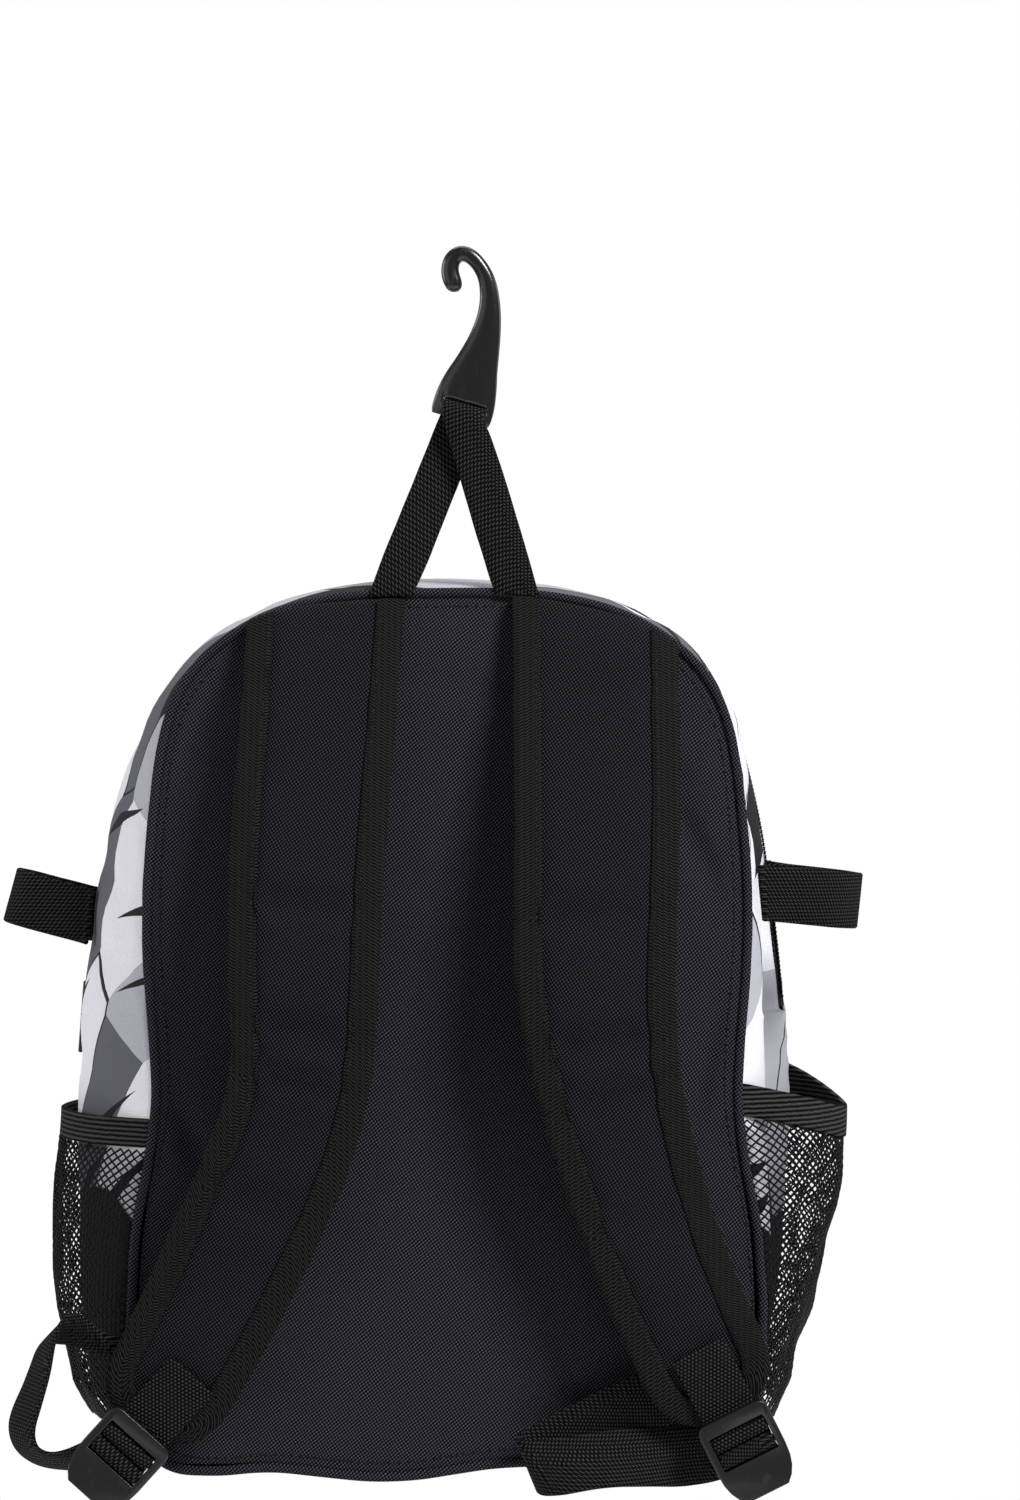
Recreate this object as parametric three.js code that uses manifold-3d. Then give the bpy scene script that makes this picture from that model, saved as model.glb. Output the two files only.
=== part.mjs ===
// A youth baseball backpack, seen from its strap side, which faces -Y.
// It is an unstuffed bag of sewn cloth, hollow inside, with a padded back, two padded shoulder
// straps, a hook to hang it on a fence, and a webbing loop over a net pocket on each side.
// Units are millimetres, +Z is up. The pieces are made in the bag's own frame, with z = 0 at the
// bag's foot and x = 0 on its middle line, and the whole is then moved so that the origin is
// the seat of the fence hook, where a wire or a rail carries the bag.

import * as THREE from "three";
import Module from "manifold-3d";
import { mergeVertices } from "three/addons/utils/BufferGeometryUtils.js";

const wasm = await Module();
wasm.setup();

// Overall sizes of the bag
const bagHeight = 407;
const bagWidth = 345;
const backWidth = 276;
const frontWidth = 290;
const backHeight = 400;
const frontHeight = 394;
const topDepth = 112;
const baseDepth = 158;
const backCrown = 10;
const frontCrown = 16;

// Cloth, padding and the gap that every two pieces keep
const clothWall = 1.4;
const backPadding = 7;
const backRim = 2;
const gap = 0.3;
const seamEase = 1.4;

// Dent in the right side, where what stands in the loop and the pocket presses the gusset in
const batDent = 44;
const batDentWidth = 30;
const batPlace = -12;
const rightSlim = 13;

// The foot of the bag is not straight: its corner hangs, and the cloth beside it draws up.
const footSag = 7;
const footFade = 80;

// Zip round the top of the gusset
const zipWidth = 16;
const zipPlace = 0.66;
const zipFoot = 205;
const zipThickness = 1.6;
const zipStep = 1;
const sliderLength = 14;
const sliderWidth = 9;
const sliderThickness = 4.5;
const sliderStop = 2;
const pullLength = 34;
const pullWidth = 8;
const pullThickness = 2;
const pullHang = 6;

// Shoulder straps and the cloth tape that binds their edges
const strapWidth = 70;
const strapThickness = 9;
const strapEdge = 4;
const strapTipRadius = 22;
const strapLift = 34;
const strapTopDrop = 3.4;
const bindingWidth = 11;
const bindingWall = 1;
const bindingEase = 0.8;
const bevelWidth = 4;
const coreEase = 0.2;

// Webbing
const strapWebbing = 25;
const hangWebbing = 19;
const webbingWall = 1.5;
const patchLength = 33;

// Ladder locks
const lockWidth = 33;
const lockThickness = 5;
const lockBarSize = 3.4;
const lockBarRoot = 1;
const lockTopBar = 6.4;
const lockLip = 16;
const lockCorner = 5;
const lockStandOff = -3;
const leftLockTurn = 11;
const rightLockTurn = 0;
const threadEase = 0.6;

// Hang loop and fence hook
const hangRise = 78;
const hangSpread = 57.5;
const hangMiddle = 3;
const hookAside = 4;
const hookTilt = 15;
const hookDrop = 69;
const hookPlate = 28;
const hookRod = 8.2;
const hookBar = 4.4;

// Side loops and net pockets
const loopHeight = 25;
const loopWall = 2;
const leftLoopRise = 250;
const rightLoopRise = 262;
const loopFoot = 9;
const loopEase = 1.2;
const leftLoopReach = 37;
const leftLoopGap = 20;
const leftLoopTilt = 15;
const rightLoopReach = 44;
const rightLoopGap = 56;
const rightLoopTilt = -6;
const pocketFoot = 24;
const pocketTop = 162;
const pocketSlope = 16;
const pocketFrom = 0.01;
const pocketTo = 0.9;
const pocketWall = 1.2;
const pocketBand = 13;
const pocketBandWall = 2.2;
const leftPocketBulge = 9;
const rightPocketBulge = 12;

// Half outlines of the bag seen from behind, from the middle of the foot to the middle of the
// top: across as a share of half the width, up as a share of the height.
const MIDDLE_OUTLINE = [
  { across: 0.0, up: 0.004 },
  { across: 0.45, up: 0.004 },
  { across: 0.79, up: 0.012 },
  { across: 0.94, up: 0.055 },
  { across: 0.985, up: 0.14 },
  { across: 1.0, up: 0.3 },
  { across: 1.0, up: 0.45 },
  { across: 0.968, up: 0.595 },
  { across: 0.933, up: 0.686 },
  { across: 0.87, up: 0.789 },
  { across: 0.8, up: 0.858 },
  { across: 0.667, up: 0.926 },
  { across: 0.55, up: 0.958 },
  { across: 0.313, up: 0.99 },
  { across: 0.0, up: 1.0 },
];
const BACK_OUTLINE = [
  { across: 0.0, up: 0.0 },
  { across: 0.5, up: 0.003 },
  { across: 0.87, up: 0.012 },
  { across: 0.975, up: 0.045 },
  { across: 1.01, up: 0.11 },
  { across: 1.015, up: 0.2 },
  { across: 1.0, up: 0.295 },
  { across: 0.955, up: 0.375 },
  { across: 0.947, up: 0.43 },
  { across: 0.982, up: 0.55 },
  { across: 0.99, up: 0.66 },
  { across: 0.965, up: 0.75 },
  { across: 0.94, up: 0.82 },
  { across: 0.91, up: 0.875 },
  { across: 0.8, up: 0.93 },
  { across: 0.645, up: 0.968 },
  { across: 0.38, up: 0.994 },
  { across: 0.0, up: 1.0 },
];

// How far the foot line lies above the bag's foot, across as a share of half the width.
const FOOT_LINE = [
  { across: -1.0, share: 0.0 },
  { across: -0.77, share: -0.35 },
  { across: -0.5, share: 1.0 },
  { across: -0.19, share: 0.1 },
  { across: 0.2, share: 1.3 },
  { across: 0.5, share: 1.2 },
  { across: 0.8, share: 0.4 },
  { across: 1.0, share: 0.0 },
];

// How deep the right side's dent is at each height, and how far the whole side is drawn in, as
// shares of the bag's height, of the dent and of the slimming.
const BAT_DENT = [
  { up: 0.0, share: 0.0, slim: 1.0 },
  { up: 0.05, share: 0.3, slim: 1.0 },
  { up: 0.12, share: 0.75, slim: 1.0 },
  { up: 0.22, share: 1.0, slim: 0.6 },
  { up: 0.4, share: 1.0, slim: 0.2 },
  { up: 0.64, share: 0.62, slim: 0.4 },
  { up: 0.74, share: 0.25, slim: 0.5 },
  { up: 0.84, share: 0.0, slim: 0.5 },
  { up: 1.0, share: 0.0, slim: 0.0 },
];

// Shoulder straps seen from behind, top to end: across as a share of half the back's width, up
// as a share of its height, wide as a share of the strap's width, lift as a share of its lift.
const LEFT_STRAP = [
  { across: -0.395, up: 0.975, wide: 0.98, lift: 0.0 },
  { across: -0.41, up: 0.87, wide: 0.95, lift: 0.3 },
  { across: -0.44, up: 0.705, wide: 0.94, lift: 0.82 },
  { across: -0.45, up: 0.562, wide: 0.9, lift: 1.0 },
  { across: -0.448, up: 0.472, wide: 0.84, lift: 0.98 },
  { across: -0.5, up: 0.395, wide: 0.84, lift: 0.9 },
  { across: -0.645, up: 0.28, wide: 0.84, lift: 0.74 },
  { across: -0.81, up: 0.163, wide: 0.8, lift: 0.58 },
  { across: -0.965, up: 0.072, wide: 0.77, lift: 0.46 },
];
const RIGHT_STRAP = [
  { across: 0.482, up: 0.975, wide: 1.03, lift: 0.0 },
  { across: 0.483, up: 0.87, wide: 1.02, lift: 0.3 },
  { across: 0.483, up: 0.722, wide: 1.01, lift: 0.8 },
  { across: 0.474, up: 0.562, wide: 0.97, lift: 1.0 },
  { across: 0.522, up: 0.443, wide: 0.86, lift: 0.95 },
  { across: 0.636, up: 0.302, wide: 0.8, lift: 0.77 },
  { across: 0.768, up: 0.185, wide: 0.78, lift: 0.6 },
  { across: 0.905, up: 0.088, wide: 0.75, lift: 0.46 },
];

// The fence hook from its tip round the bowl and down to its bar: across and down as shares of
// the drop from seat to bar, wide as a share of the plate, deep as a share of the rod.
const HOOK_SECTIONS = [
  { across: -0.05, down: 0.196, wide: 0.1, deep: 0.36 },
  { across: -0.052, down: 0.178, wide: 0.24, deep: 0.85 },
  { across: -0.058, down: 0.15, wide: 0.29, deep: 0.98 },
  { across: -0.078, down: 0.105, wide: 0.31, deep: 1.0 },
  { across: -0.089, down: 0.045, wide: 0.3, deep: 1.0 },
  { across: -0.07, down: -0.024, wide: 0.3, deep: 1.0 },
  { across: -0.016, down: -0.06, wide: 0.29, deep: 1.0 },
  { across: 0.042, down: -0.045, wide: 0.265, deep: 1.0 },
  { across: 0.092, down: 0.0, wide: 0.25, deep: 1.0 },
  { across: 0.136, down: 0.065, wide: 0.26, deep: 0.98 },
  { across: 0.165, down: 0.14, wide: 0.29, deep: 0.95 },
  { across: 0.18, down: 0.27, wide: 0.34, deep: 0.88 },
  { across: 0.166, down: 0.412, wide: 0.44, deep: 0.8 },
  { across: 0.13, down: 0.555, wide: 0.58, deep: 0.74 },
  { across: 0.082, down: 0.695, wide: 0.76, deep: 0.7 },
  { across: 0.038, down: 0.825, wide: 0.93, deep: 0.66 },
  { across: 0.01, down: 0.925, wide: 1.0, deep: 0.6 },
  { across: -0.014, down: 1.01, wide: 0.99, deep: 0.54 },
  { across: -0.021, down: 1.034, wide: 0.93, deep: 0.4 },
];

// How far the net pockets swell, from foot to mouth, as shares of the pocket and of its bulge.
const LEFT_SWELL = [
  { up: 0.0, share: 0.0 },
  { up: 0.15, share: 0.6 },
  { up: 0.4, share: 1.0 },
  { up: 0.7, share: 0.9 },
  { up: 1.0, share: 0.5 },
];
const RIGHT_SWELL = [
  { up: 0.0, share: 0.0 },
  { up: 0.2, share: 0.12 },
  { up: 0.45, share: 0.45 },
  { up: 0.75, share: 1.0 },
  { up: 1.0, share: 1.0 },
];

// The slack webbing from the seam at the bag's foot corner to where it goes in behind the strap.
// Its places: out as a share of half the back's width, up and near (to the wearer) as shares of
// the slack's rise and depth. The way its width points: wideOut, wideUp and wideNear.
const slackRise = 80;
const slackDepth = 30;
const LEFT_SLACK = [
  { out: 0.97, up: 0.24, near: 0.05, wideOut: 0.0, wideUp: 1.0, wideNear: 0.0 },
  { out: 1.07, up: 0.22, near: 0.16, wideOut: 0.05, wideUp: 0.97, wideNear: 0.2 },
  { out: 1.17, up: 0.19, near: 0.42, wideOut: -0.15, wideUp: 0.6, wideNear: 0.8 },
  { out: 1.27, up: 0.19, near: 0.66, wideOut: -0.35, wideUp: 0.35, wideNear: 0.88 },
  { out: 1.335, up: 0.26, near: 0.72, wideOut: -0.5, wideUp: 0.12, wideNear: 0.85 },
  { out: 1.35, up: 0.38, near: 0.72, wideOut: -0.52, wideUp: -0.05, wideNear: 0.85 },
  { out: 1.32, up: 0.53, near: 0.68, wideOut: -0.4, wideUp: -0.2, wideNear: 0.9 },
  { out: 1.29, up: 0.69, near: 0.64, wideOut: -0.4, wideUp: -0.05, wideNear: 0.92 },
  { out: 1.27, up: 0.83, near: 0.62, wideOut: -0.35, wideUp: 0.25, wideNear: 0.9 },
  { out: 1.21, up: 0.9, near: 0.6, wideOut: -0.05, wideUp: 0.6, wideNear: 0.8 },
  { out: 1.13, up: 0.86, near: 0.5, wideOut: 0.35, wideUp: 0.8, wideNear: 0.5 },
  { out: 1.06, up: 0.77, near: 0.42, wideOut: 0.55, wideUp: 0.8, wideNear: 0.15 },
];
const RIGHT_SLACK = [
  { out: 0.96, up: 0.26, near: 0.05, wideOut: 0.0, wideUp: 1.0, wideNear: 0.0 },
  { out: 0.87, up: 0.2, near: 0.13, wideOut: -0.1, wideUp: 1.0, wideNear: 0.0 },
  { out: 0.77, up: 0.18, near: 0.3, wideOut: 0.0, wideUp: 1.0, wideNear: -0.1 },
  { out: 0.65, up: 0.2, near: 0.62, wideOut: 0.0, wideUp: 0.95, wideNear: -0.3 },
  { out: 0.5, up: 0.205, near: 0.86, wideOut: -0.1, wideUp: 0.85, wideNear: -0.5 },
  { out: 0.375, up: 0.17, near: 0.9, wideOut: -0.2, wideUp: 0.85, wideNear: -0.5 },
  { out: 0.285, up: 0.15, near: 0.76, wideOut: -0.32, wideUp: 0.9, wideNear: -0.25 },
  { out: 0.26, up: 0.16, near: 0.57, wideOut: -0.36, wideUp: 0.92, wideNear: 0.0 },
  { out: 0.29, up: 0.19, near: 0.38, wideOut: -0.4, wideUp: 0.92, wideNear: 0.0 },
  { out: 0.39, up: 0.28, near: 0.34, wideOut: -0.44, wideUp: 0.9, wideNear: 0.0 },
  { out: 0.51, up: 0.39, near: 0.4, wideOut: -0.44, wideUp: 0.9, wideNear: 0.0 },
  { out: 0.62, up: 0.485, near: 0.44, wideOut: -0.42, wideUp: 0.92, wideNear: 0.0 },
];

const NEAR = new THREE.Vector3(0, -1, 0);
const vector = (x, y, z) => new THREE.Vector3(x, y, z);
const mix = (a, b, t) => a + (b - a) * t;
const clamp = (t) => Math.min(1, Math.max(0, t));
const smooth = (t) => clamp(t) ** 2 * (3 - 2 * clamp(t));
const spaced = (from, to, steps) => Array.from({ length: steps + 1 }, (_, i) => mix(from, to, i / steps));

// Reads one column of a table at a place between its rows, with smooth steps.
function readTable(table, key, column, place) {
  const last = table.length - 1;
  if (place <= table[0][key]) return table[0][column];
  if (place >= table[last][key]) return table[last][column];
  const i = table.findIndex((row) => row[key] > place) - 1;
  const t = (place - table[i][key]) / (table[i + 1][key] - table[i][key]);
  return mix(table[i][column], table[i + 1][column], smooth(t));
}

// Turns a list of triangles into a geometry whose faces point out.
function geometryOf(triangles) {
  const kept = triangles.filter(([a, b, c]) => a !== b && b !== c && c !== a);
  const sixVolumes = kept.reduce((sum, [a, b, c]) => sum + a.dot(b.clone().cross(c)), 0);
  const turned = sixVolumes < 0 ? kept.map(([a, b, c]) => [a, c, b]) : kept;
  const positions = new Float32Array(turned.flatMap((t) => t.flatMap((p) => [p.x, p.y, p.z])));
  return new THREE.BufferGeometry().setAttribute("position", new THREE.BufferAttribute(positions, 3));
}

// A closed solid between an outer and an inner grid of points, with walls round its edges.
// A ring has no first and last column, and a row may be one point many times over.
function solidBetween(outer, inner, ring = false) {
  const faces = [];
  const quad = (a, b, c, d) => faces.push([a, b, c], [a, c, d]);
  const rows = outer.length;
  const columns = outer[0].length;
  const spans = ring ? columns : columns - 1;
  for (let j = 0; j < spans; j++) {
    const k = (j + 1) % columns;
    for (let i = 0; i + 1 < rows; i++) {
      quad(outer[i][j], outer[i + 1][j], outer[i + 1][k], outer[i][k]);
      quad(inner[i][j], inner[i][k], inner[i + 1][k], inner[i + 1][j]);
    }
    quad(outer[0][j], outer[0][k], inner[0][k], inner[0][j]);
    quad(outer[rows - 1][k], outer[rows - 1][j], inner[rows - 1][j], inner[rows - 1][k]);
  }
  if (!ring) {
    for (let i = 0; i + 1 < rows; i++) {
      quad(outer[i][0], inner[i][0], inner[i + 1][0], outer[i + 1][0]);
      quad(outer[i][spans], outer[i + 1][spans], inner[i + 1][spans], inner[i][spans]);
    }
  }
  return geometryOf(faces);
}

// A closed solid through sections that are closed loops of points, capped at both ends.
function solidThrough(sections, flatSection) {
  const faces = [];
  const count = sections[0].length;
  for (let i = 0; i + 1 < sections.length; i++) {
    for (let j = 0; j < count; j++) {
      const k = (j + 1) % count;
      const [a, b, c, d] = [sections[i][j], sections[i + 1][j], sections[i + 1][k], sections[i][k]];
      faces.push([a, b, c], [a, c, d]);
    }
  }
  const last = sections[sections.length - 1];
  for (const [a, b, c] of THREE.ShapeUtils.triangulateShape(flatSection, [])) {
    faces.push([sections[0][a], sections[0][b], sections[0][c]], [last[a], last[c], last[b]]);
  }
  return geometryOf(faces);
}

const solidOf = (geometry) => {
  const loose = geometry.index ? geometry.toNonIndexed() : geometry;
  const bare = new THREE.BufferGeometry().setAttribute("position", loose.getAttribute("position"));
  const merged = mergeVertices(bare);
  const vertProperties = merged.attributes.position.array;
  const triVerts = Uint32Array.from(merged.index.array);
  return new wasm.Manifold(new wasm.Mesh({ numProp: 3, vertProperties, triVerts }));
};

// A solid with others joined to it and others cut from it.
function joined(geometry, extras, tools) {
  const whole = extras.reduce((left, extra) => left.add(solidOf(extra)), solidOf(geometry));
  const made = tools.reduce((left, tool) => left.subtract(solidOf(tool)), whole).getMesh();
  const positions = new THREE.BufferAttribute(Float32Array.from(made.vertProperties), 3);
  const result = new THREE.BufferGeometry().setAttribute("position", positions);
  return result.setIndex(new THREE.BufferAttribute(Uint32Array.from(made.triVerts), 1));
}

// The bag's outlines as closed curves by arc length: 0 is the middle of the foot, 0.5 the
// middle of the top, and the first half is the right side.
function outlineCurve(table, width, height) {
  const right = table.map((row) => vector((row.across * width) / 2, 0, row.up * height));
  const left = right.slice(1, -1).reverse();
  const mirrored = left.map((p) => vector(-p.x, 0, p.z));
  return new THREE.CatmullRomCurve3([...right, ...mirrored], true, "centripetal");
}
const middleCurve = outlineCurve(MIDDLE_OUTLINE, bagWidth, bagHeight);
const backCurve = outlineCurve(BACK_OUTLINE, backWidth, backHeight);
const frontCurve = outlineCurve(MIDDLE_OUTLINE, frontWidth, frontHeight);
const perimeter = middleCurve.getLength();

// Swelling of the back and front panels, 1 in the middle and 0 from the rim on.
function crownShare(x, z, width, height) {
  const across = Math.abs(x) / (width / 2);
  const up = Math.abs(z / (height / 2) - 1);
  return Math.max(0, 1 - across ** 3 - up ** 4);
}
const settle = (p) => {
  const share = readTable(FOOT_LINE, "across", "share", p.x / (bagWidth / 2));
  p.z += footSag * share * (1 - smooth(p.z / footFade));
  return p;
};
const depthAt = (z) => mix(baseDepth, topDepth, smooth(z / bagHeight));
const backY = (x, z) => -depthAt(z) / 2 - backCrown * crownShare(x, z, backWidth, backHeight);
const frontY = (x, z) => depthAt(z) / 2 + frontCrown * crownShare(x, z, frontWidth, frontHeight);

// The gusset's surface: u runs round the bag, v from the back seam to the front seam.
function gussetPoint(u, v, dented = true) {
  const turn = u - Math.floor(u);
  const back = backCurve.getPointAt(turn);
  const middle = middleCurve.getPointAt(turn);
  const front = frontCurve.getPointAt(turn);
  const swell = Math.max(0, Math.sin(Math.PI * clamp(v))) ** 0.7;
  const seam = v < 0.5 ? back : front;
  const p = seam.clone().lerp(middle, swell);
  p.y = mix(backY(back.x, back.z), frontY(front.x, front.z), v);
  if (p.x > 0) {
    const up = p.z / bagHeight;
    p.x -= rightSlim * swell * readTable(BAT_DENT, "up", "slim", up);
    const depth = dented ? batDent * readTable(BAT_DENT, "up", "share", up) : 0;
    p.x -= depth * Math.exp(-(((p.y - batPlace) / batDentWidth) ** 2));
  }
  return settle(p);
}
function gussetNormal(u, v, dented = true) {
  const [du, dv] = [0.004, 0.05];
  const low = clamp(v - dv);
  const high = clamp(v + dv);
  const round = gussetPoint(u + du, v, dented).sub(gussetPoint(u - du, v, dented));
  const deep = gussetPoint(u, high, dented).sub(gussetPoint(u, low, dented));
  return round.cross(deep).normalize().negate();
}

// Where a height lies on one side of the bag: side is 1 on the right and -1 on the left.
function turnAtHeight(side, v, z) {
  let [low, high] = [0.06, 0.5];
  for (let i = 0; i < 24; i++) {
    const middle = (low + high) / 2;
    if (gussetPoint(side > 0 ? middle : 1 - middle, v, false).z < z) low = middle;
    else high = middle;
  }
  return side > 0 ? low : 1 - low;
}

// A sheet of cloth cut from the gusset: edges(u) gives its first and last v.
function gussetSheet(turns, shares, edges, wall, sunk = 0) {
  const place = (lift) =>
    shares.map((share) =>
      turns.map((u) => {
        const [from, to] = edges(u);
        const v = mix(from, to, share);
        return gussetPoint(u, v).addScaledVector(gussetNormal(u, v), lift - sunk);
      }),
    );
  return solidBetween(place(0), place(-wall));
}

const baseTurn = 0.135;
const turnGap = (2.5 * gap) / perimeter;
const zipTo = zipPlace + zipWidth / baseDepth;
const depthGap = gap / topDepth;
const zipStart = turnAtHeight(1, zipPlace, zipFoot);
const onArch = (u) => u >= zipStart && u <= 1 - zipStart;
const besideZip = zipStep / perimeter;
const gussetTurns = [
  ...spaced(baseTurn + turnGap, zipStart - besideZip, 7),
  ...spaced(zipStart, 1 - zipStart, 24),
  ...spaced(1 - zipStart + besideZip, 1 - baseTurn - turnGap, 7),
];

function gussetRear() {
  const edges = (u) => [0, (onArch(u) ? zipPlace : zipTo) - depthGap];
  return gussetSheet(gussetTurns, [0, 0.06, 0.16, 0.28, 0.4, 0.52, 0.65, 0.8, 1], edges, clothWall);
}
function gussetFront() {
  return gussetSheet(gussetTurns, [0, 0.5, 1], () => [zipTo, 1], clothWall);
}
function basePanel() {
  const turns = spaced(-baseTurn, baseTurn, 20);
  return gussetSheet(turns, [0, 0.06, 0.25, 0.5, 0.75, 0.94, 1], () => [0, 1], clothWall);
}
function zipTape() {
  const turns = spaced(zipStart + 2 * turnGap, 1 - zipStart - 2 * turnGap, 30);
  const edges = () => [zipPlace + depthGap, zipTo - 2 * depthGap];
  return gussetSheet(turns, [0, 0.5, 1], edges, zipThickness, gap);
}

// A back or front panel: rings from its rim, which lies inside the gusset's edge, to its middle.
function panel(curve, height, surfaceY, wall, rimWall, outward) {
  const turns = spaced(0, 1, 48).slice(0, -1);
  const middle = vector(0, 0, height / 2);
  const rim = turns.map((u) => {
    const p = curve.getPointAt(u);
    const along = curve.getTangentAt(u);
    return p.add(vector(-along.z, 0, along.x).multiplyScalar(clothWall + seamEase));
  });
  const ring = (share, lift) => {
    const centre = vector(0, surfaceY(0, middle.z) + lift, middle.z);
    return rim.map((p) => {
      if (share === 0) return centre;
      const q = middle.clone().lerp(p, share);
      return settle(q.setY(surfaceY(q.x, q.z) + lift));
    });
  };
  const shares = [1, 0.92, 0.75, 0.45, 0];
  return solidBetween(
    shares.map((share) => ring(share, 0)),
    shares.map((share) => ring(share, -outward * (share === 1 ? rimWall : wall))),
    true,
  );
}

// Places on the outer face of a side of the bag, with its normal.
function sideFrame(side, z, v, dented = true) {
  const u = turnAtHeight(side, v, z);
  const at = gussetPoint(u, v, dented);
  const up = gussetPoint(u + side * 0.004, v, dented).sub(at).normalize();
  return { at, up, normal: gussetNormal(u, v, dented) };
}

// The slider at the left foot of the zip, with its pull hanging down over the cloth.
const zipMiddle = (zipPlace + zipTo) / 2;
function besideSurface(frame, lengthway, size, lift) {
  const [long, wide, thick] = size;
  const box = new THREE.BoxGeometry(wide, thick, long);
  const across = frame.normal.clone().cross(lengthway).normalize();
  const turn = new THREE.Matrix4().makeBasis(across, frame.normal, lengthway);
  const centre = frame.at.clone().addScaledVector(frame.normal, lift + thick / 2);
  return box.applyMatrix4(turn.setPosition(centre));
}
const sliderFrame = () => sideFrame(-1, zipFoot + sliderLength / 2 + sliderStop, zipMiddle);
const zipSlider = () => {
  const frame = sliderFrame();
  return besideSurface(frame, frame.up, [sliderLength, sliderWidth, sliderThickness], gap);
};
const zipPull = () => {
  const frame = sliderFrame();
  const foot = sideFrame(-1, zipFoot - pullLength / 2 - pullHang, zipMiddle);
  const lift = sliderThickness + 2 * gap;
  const from = frame.at.clone().addScaledVector(frame.normal, lift);
  const to = foot.at.clone().addScaledVector(foot.normal, lift);
  const along = from.clone().sub(to).normalize();
  const at = from.clone().addScaledVector(along, -pullLength / 2 + sliderLength / 4);
  return besideSurface({ at, normal: frame.normal }, along, [pullLength, pullWidth, pullThickness], 0);
};

// A ribbon of webbing through rows of a place and the way and share that its width points.
function ribbon(rows, width, wall, perRow) {
  const edgeCurve = (side) => {
    const places = rows.map((row) => row.at.clone().addScaledVector(row.wide, (side * width) / 2));
    return new THREE.CatmullRomCurve3(places, false, "centripetal");
  };
  const [left, right] = [edgeCurve(-1), edgeCurve(1)];
  const steps = (rows.length - 1) * perRow;
  const middle = (t) => left.getPoint(clamp(t)).lerp(right.getPoint(clamp(t)), 0.5);
  const outer = [];
  const inner = [];
  for (let i = 0; i <= steps; i++) {
    const along = middle((i + 0.2) / steps).sub(middle((i - 0.2) / steps));
    const [a, b] = [left.getPoint(i / steps), right.getPoint(i / steps)];
    const out = along.cross(b.clone().sub(a)).setLength(wall / 2);
    outer.push([a.clone().add(out), b.clone().add(out)]);
    inner.push([a.clone().sub(out), b.clone().sub(out)]);
  }
  return solidBetween(outer, inner);
}

// A shoulder strap's own surface: s runs down its length, a across it, from -1 to 1.
function strapSurface(table) {
  const rows = table.map((row) => vector((row.across * backWidth) / 2, 0, row.up * backHeight));
  const line = new THREE.CatmullRomCurve3(rows, false, "centripetal");
  const length = line.getLength();
  const column = (name, s) => {
    const t = line.getUtoTmapping(clamp(s / length)) * (table.length - 1);
    const i = Math.min(table.length - 2, Math.floor(t));
    return mix(table[i][name], table[i + 1][name], t - i);
  };
  const half = (s) => (strapWidth / 2) * column("wide", s);
  const edgeDrop = bindingWall + bindingEase + strapEdge / 2;
  // A point off the middle by a distance in the strap's own cloth, raised by a height.
  const point = (s, offset, raised = 0) => {
    const centre = line.getPointAt(clamp(s / length));
    const along = line.getTangentAt(clamp(s / length));
    centre.addScaledVector(along, s - clamp(s / length) * length);
    const x = centre.x + along.z * offset * -1;
    const topBlend = 1 - smooth(s / (length * 0.16));
    const slant = backCurve.getPointAt(turnOfBack(x)).z - strapTopDrop - rows[0].z;
    const z = centre.z + along.x * offset + topBlend * slant;
    const lift = strapLift * column("lift", s) + gap + edgeDrop + coreRise(s);
    return vector(x, backY(x, Math.min(z, backHeight - strapTopDrop)) - lift - raised, z);
  };
  // The middle of the strap is thicker than its edges, so it starts thin at the seam.
  const coreRise = (s) => (strapThickness / 2 - edgeDrop + coreEase) * smooth(s / (length * 0.1));
  return { length, half, point };
}

// How far a place on the strap lies inside its edge, whose end is rounded.
function insideStrap(strap, s, offset) {
  const half = strap.half(s);
  const past = Math.abs(offset) - (half - strapTipRadius);
  const on = s - (strap.length - strapTipRadius);
  if (past > 0 && on > 0) return strapTipRadius - Math.hypot(past, on);
  return Math.min(half - Math.abs(offset), strap.length - s);
}

// Rows down the strap, closer together where its end is rounded, with the half width at each.
function strapRows(strap) {
  const straight = spaced(0, strap.length - strapTipRadius, 15);
  const round = spaced(0, Math.PI / 2, 5).slice(1);
  return [
    ...straight.map((s) => ({ s, half: strap.half(s) })),
    ...round.map((angle) => {
      const s = strap.length - strapTipRadius * (1 - Math.sin(angle));
      return { s, half: strap.half(s) - strapTipRadius * (1 - Math.cos(angle)) };
    }),
  ];
}

function strapBody(strap) {
  const coreEdge = bindingWidth + gap;
  const outer = [];
  const inner = [];
  for (const { s, half } of strapRows(strap)) {
    const flat = Math.max(half - coreEdge, half * 0.5);
    const core = Math.max(half - coreEdge - bevelWidth, half * 0.35);
    const offsets = [-half, -flat, -core, 0, core, flat, half];
    const thickness = (offset) => {
      const inside = insideStrap(strap, s + bevelWidth, offset) - coreEdge;
      const thick = smooth(inside / bevelWidth) * smooth(s / (strap.length * 0.1));
      return mix(strapEdge, strapThickness, thick) / 2;
    };
    outer.push(offsets.map((offset) => strap.point(s, offset, thickness(offset))));
    inner.push(offsets.map((offset) => strap.point(s, offset, -thickness(offset))));
  }
  return solidBetween(outer, inner);
}

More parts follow.
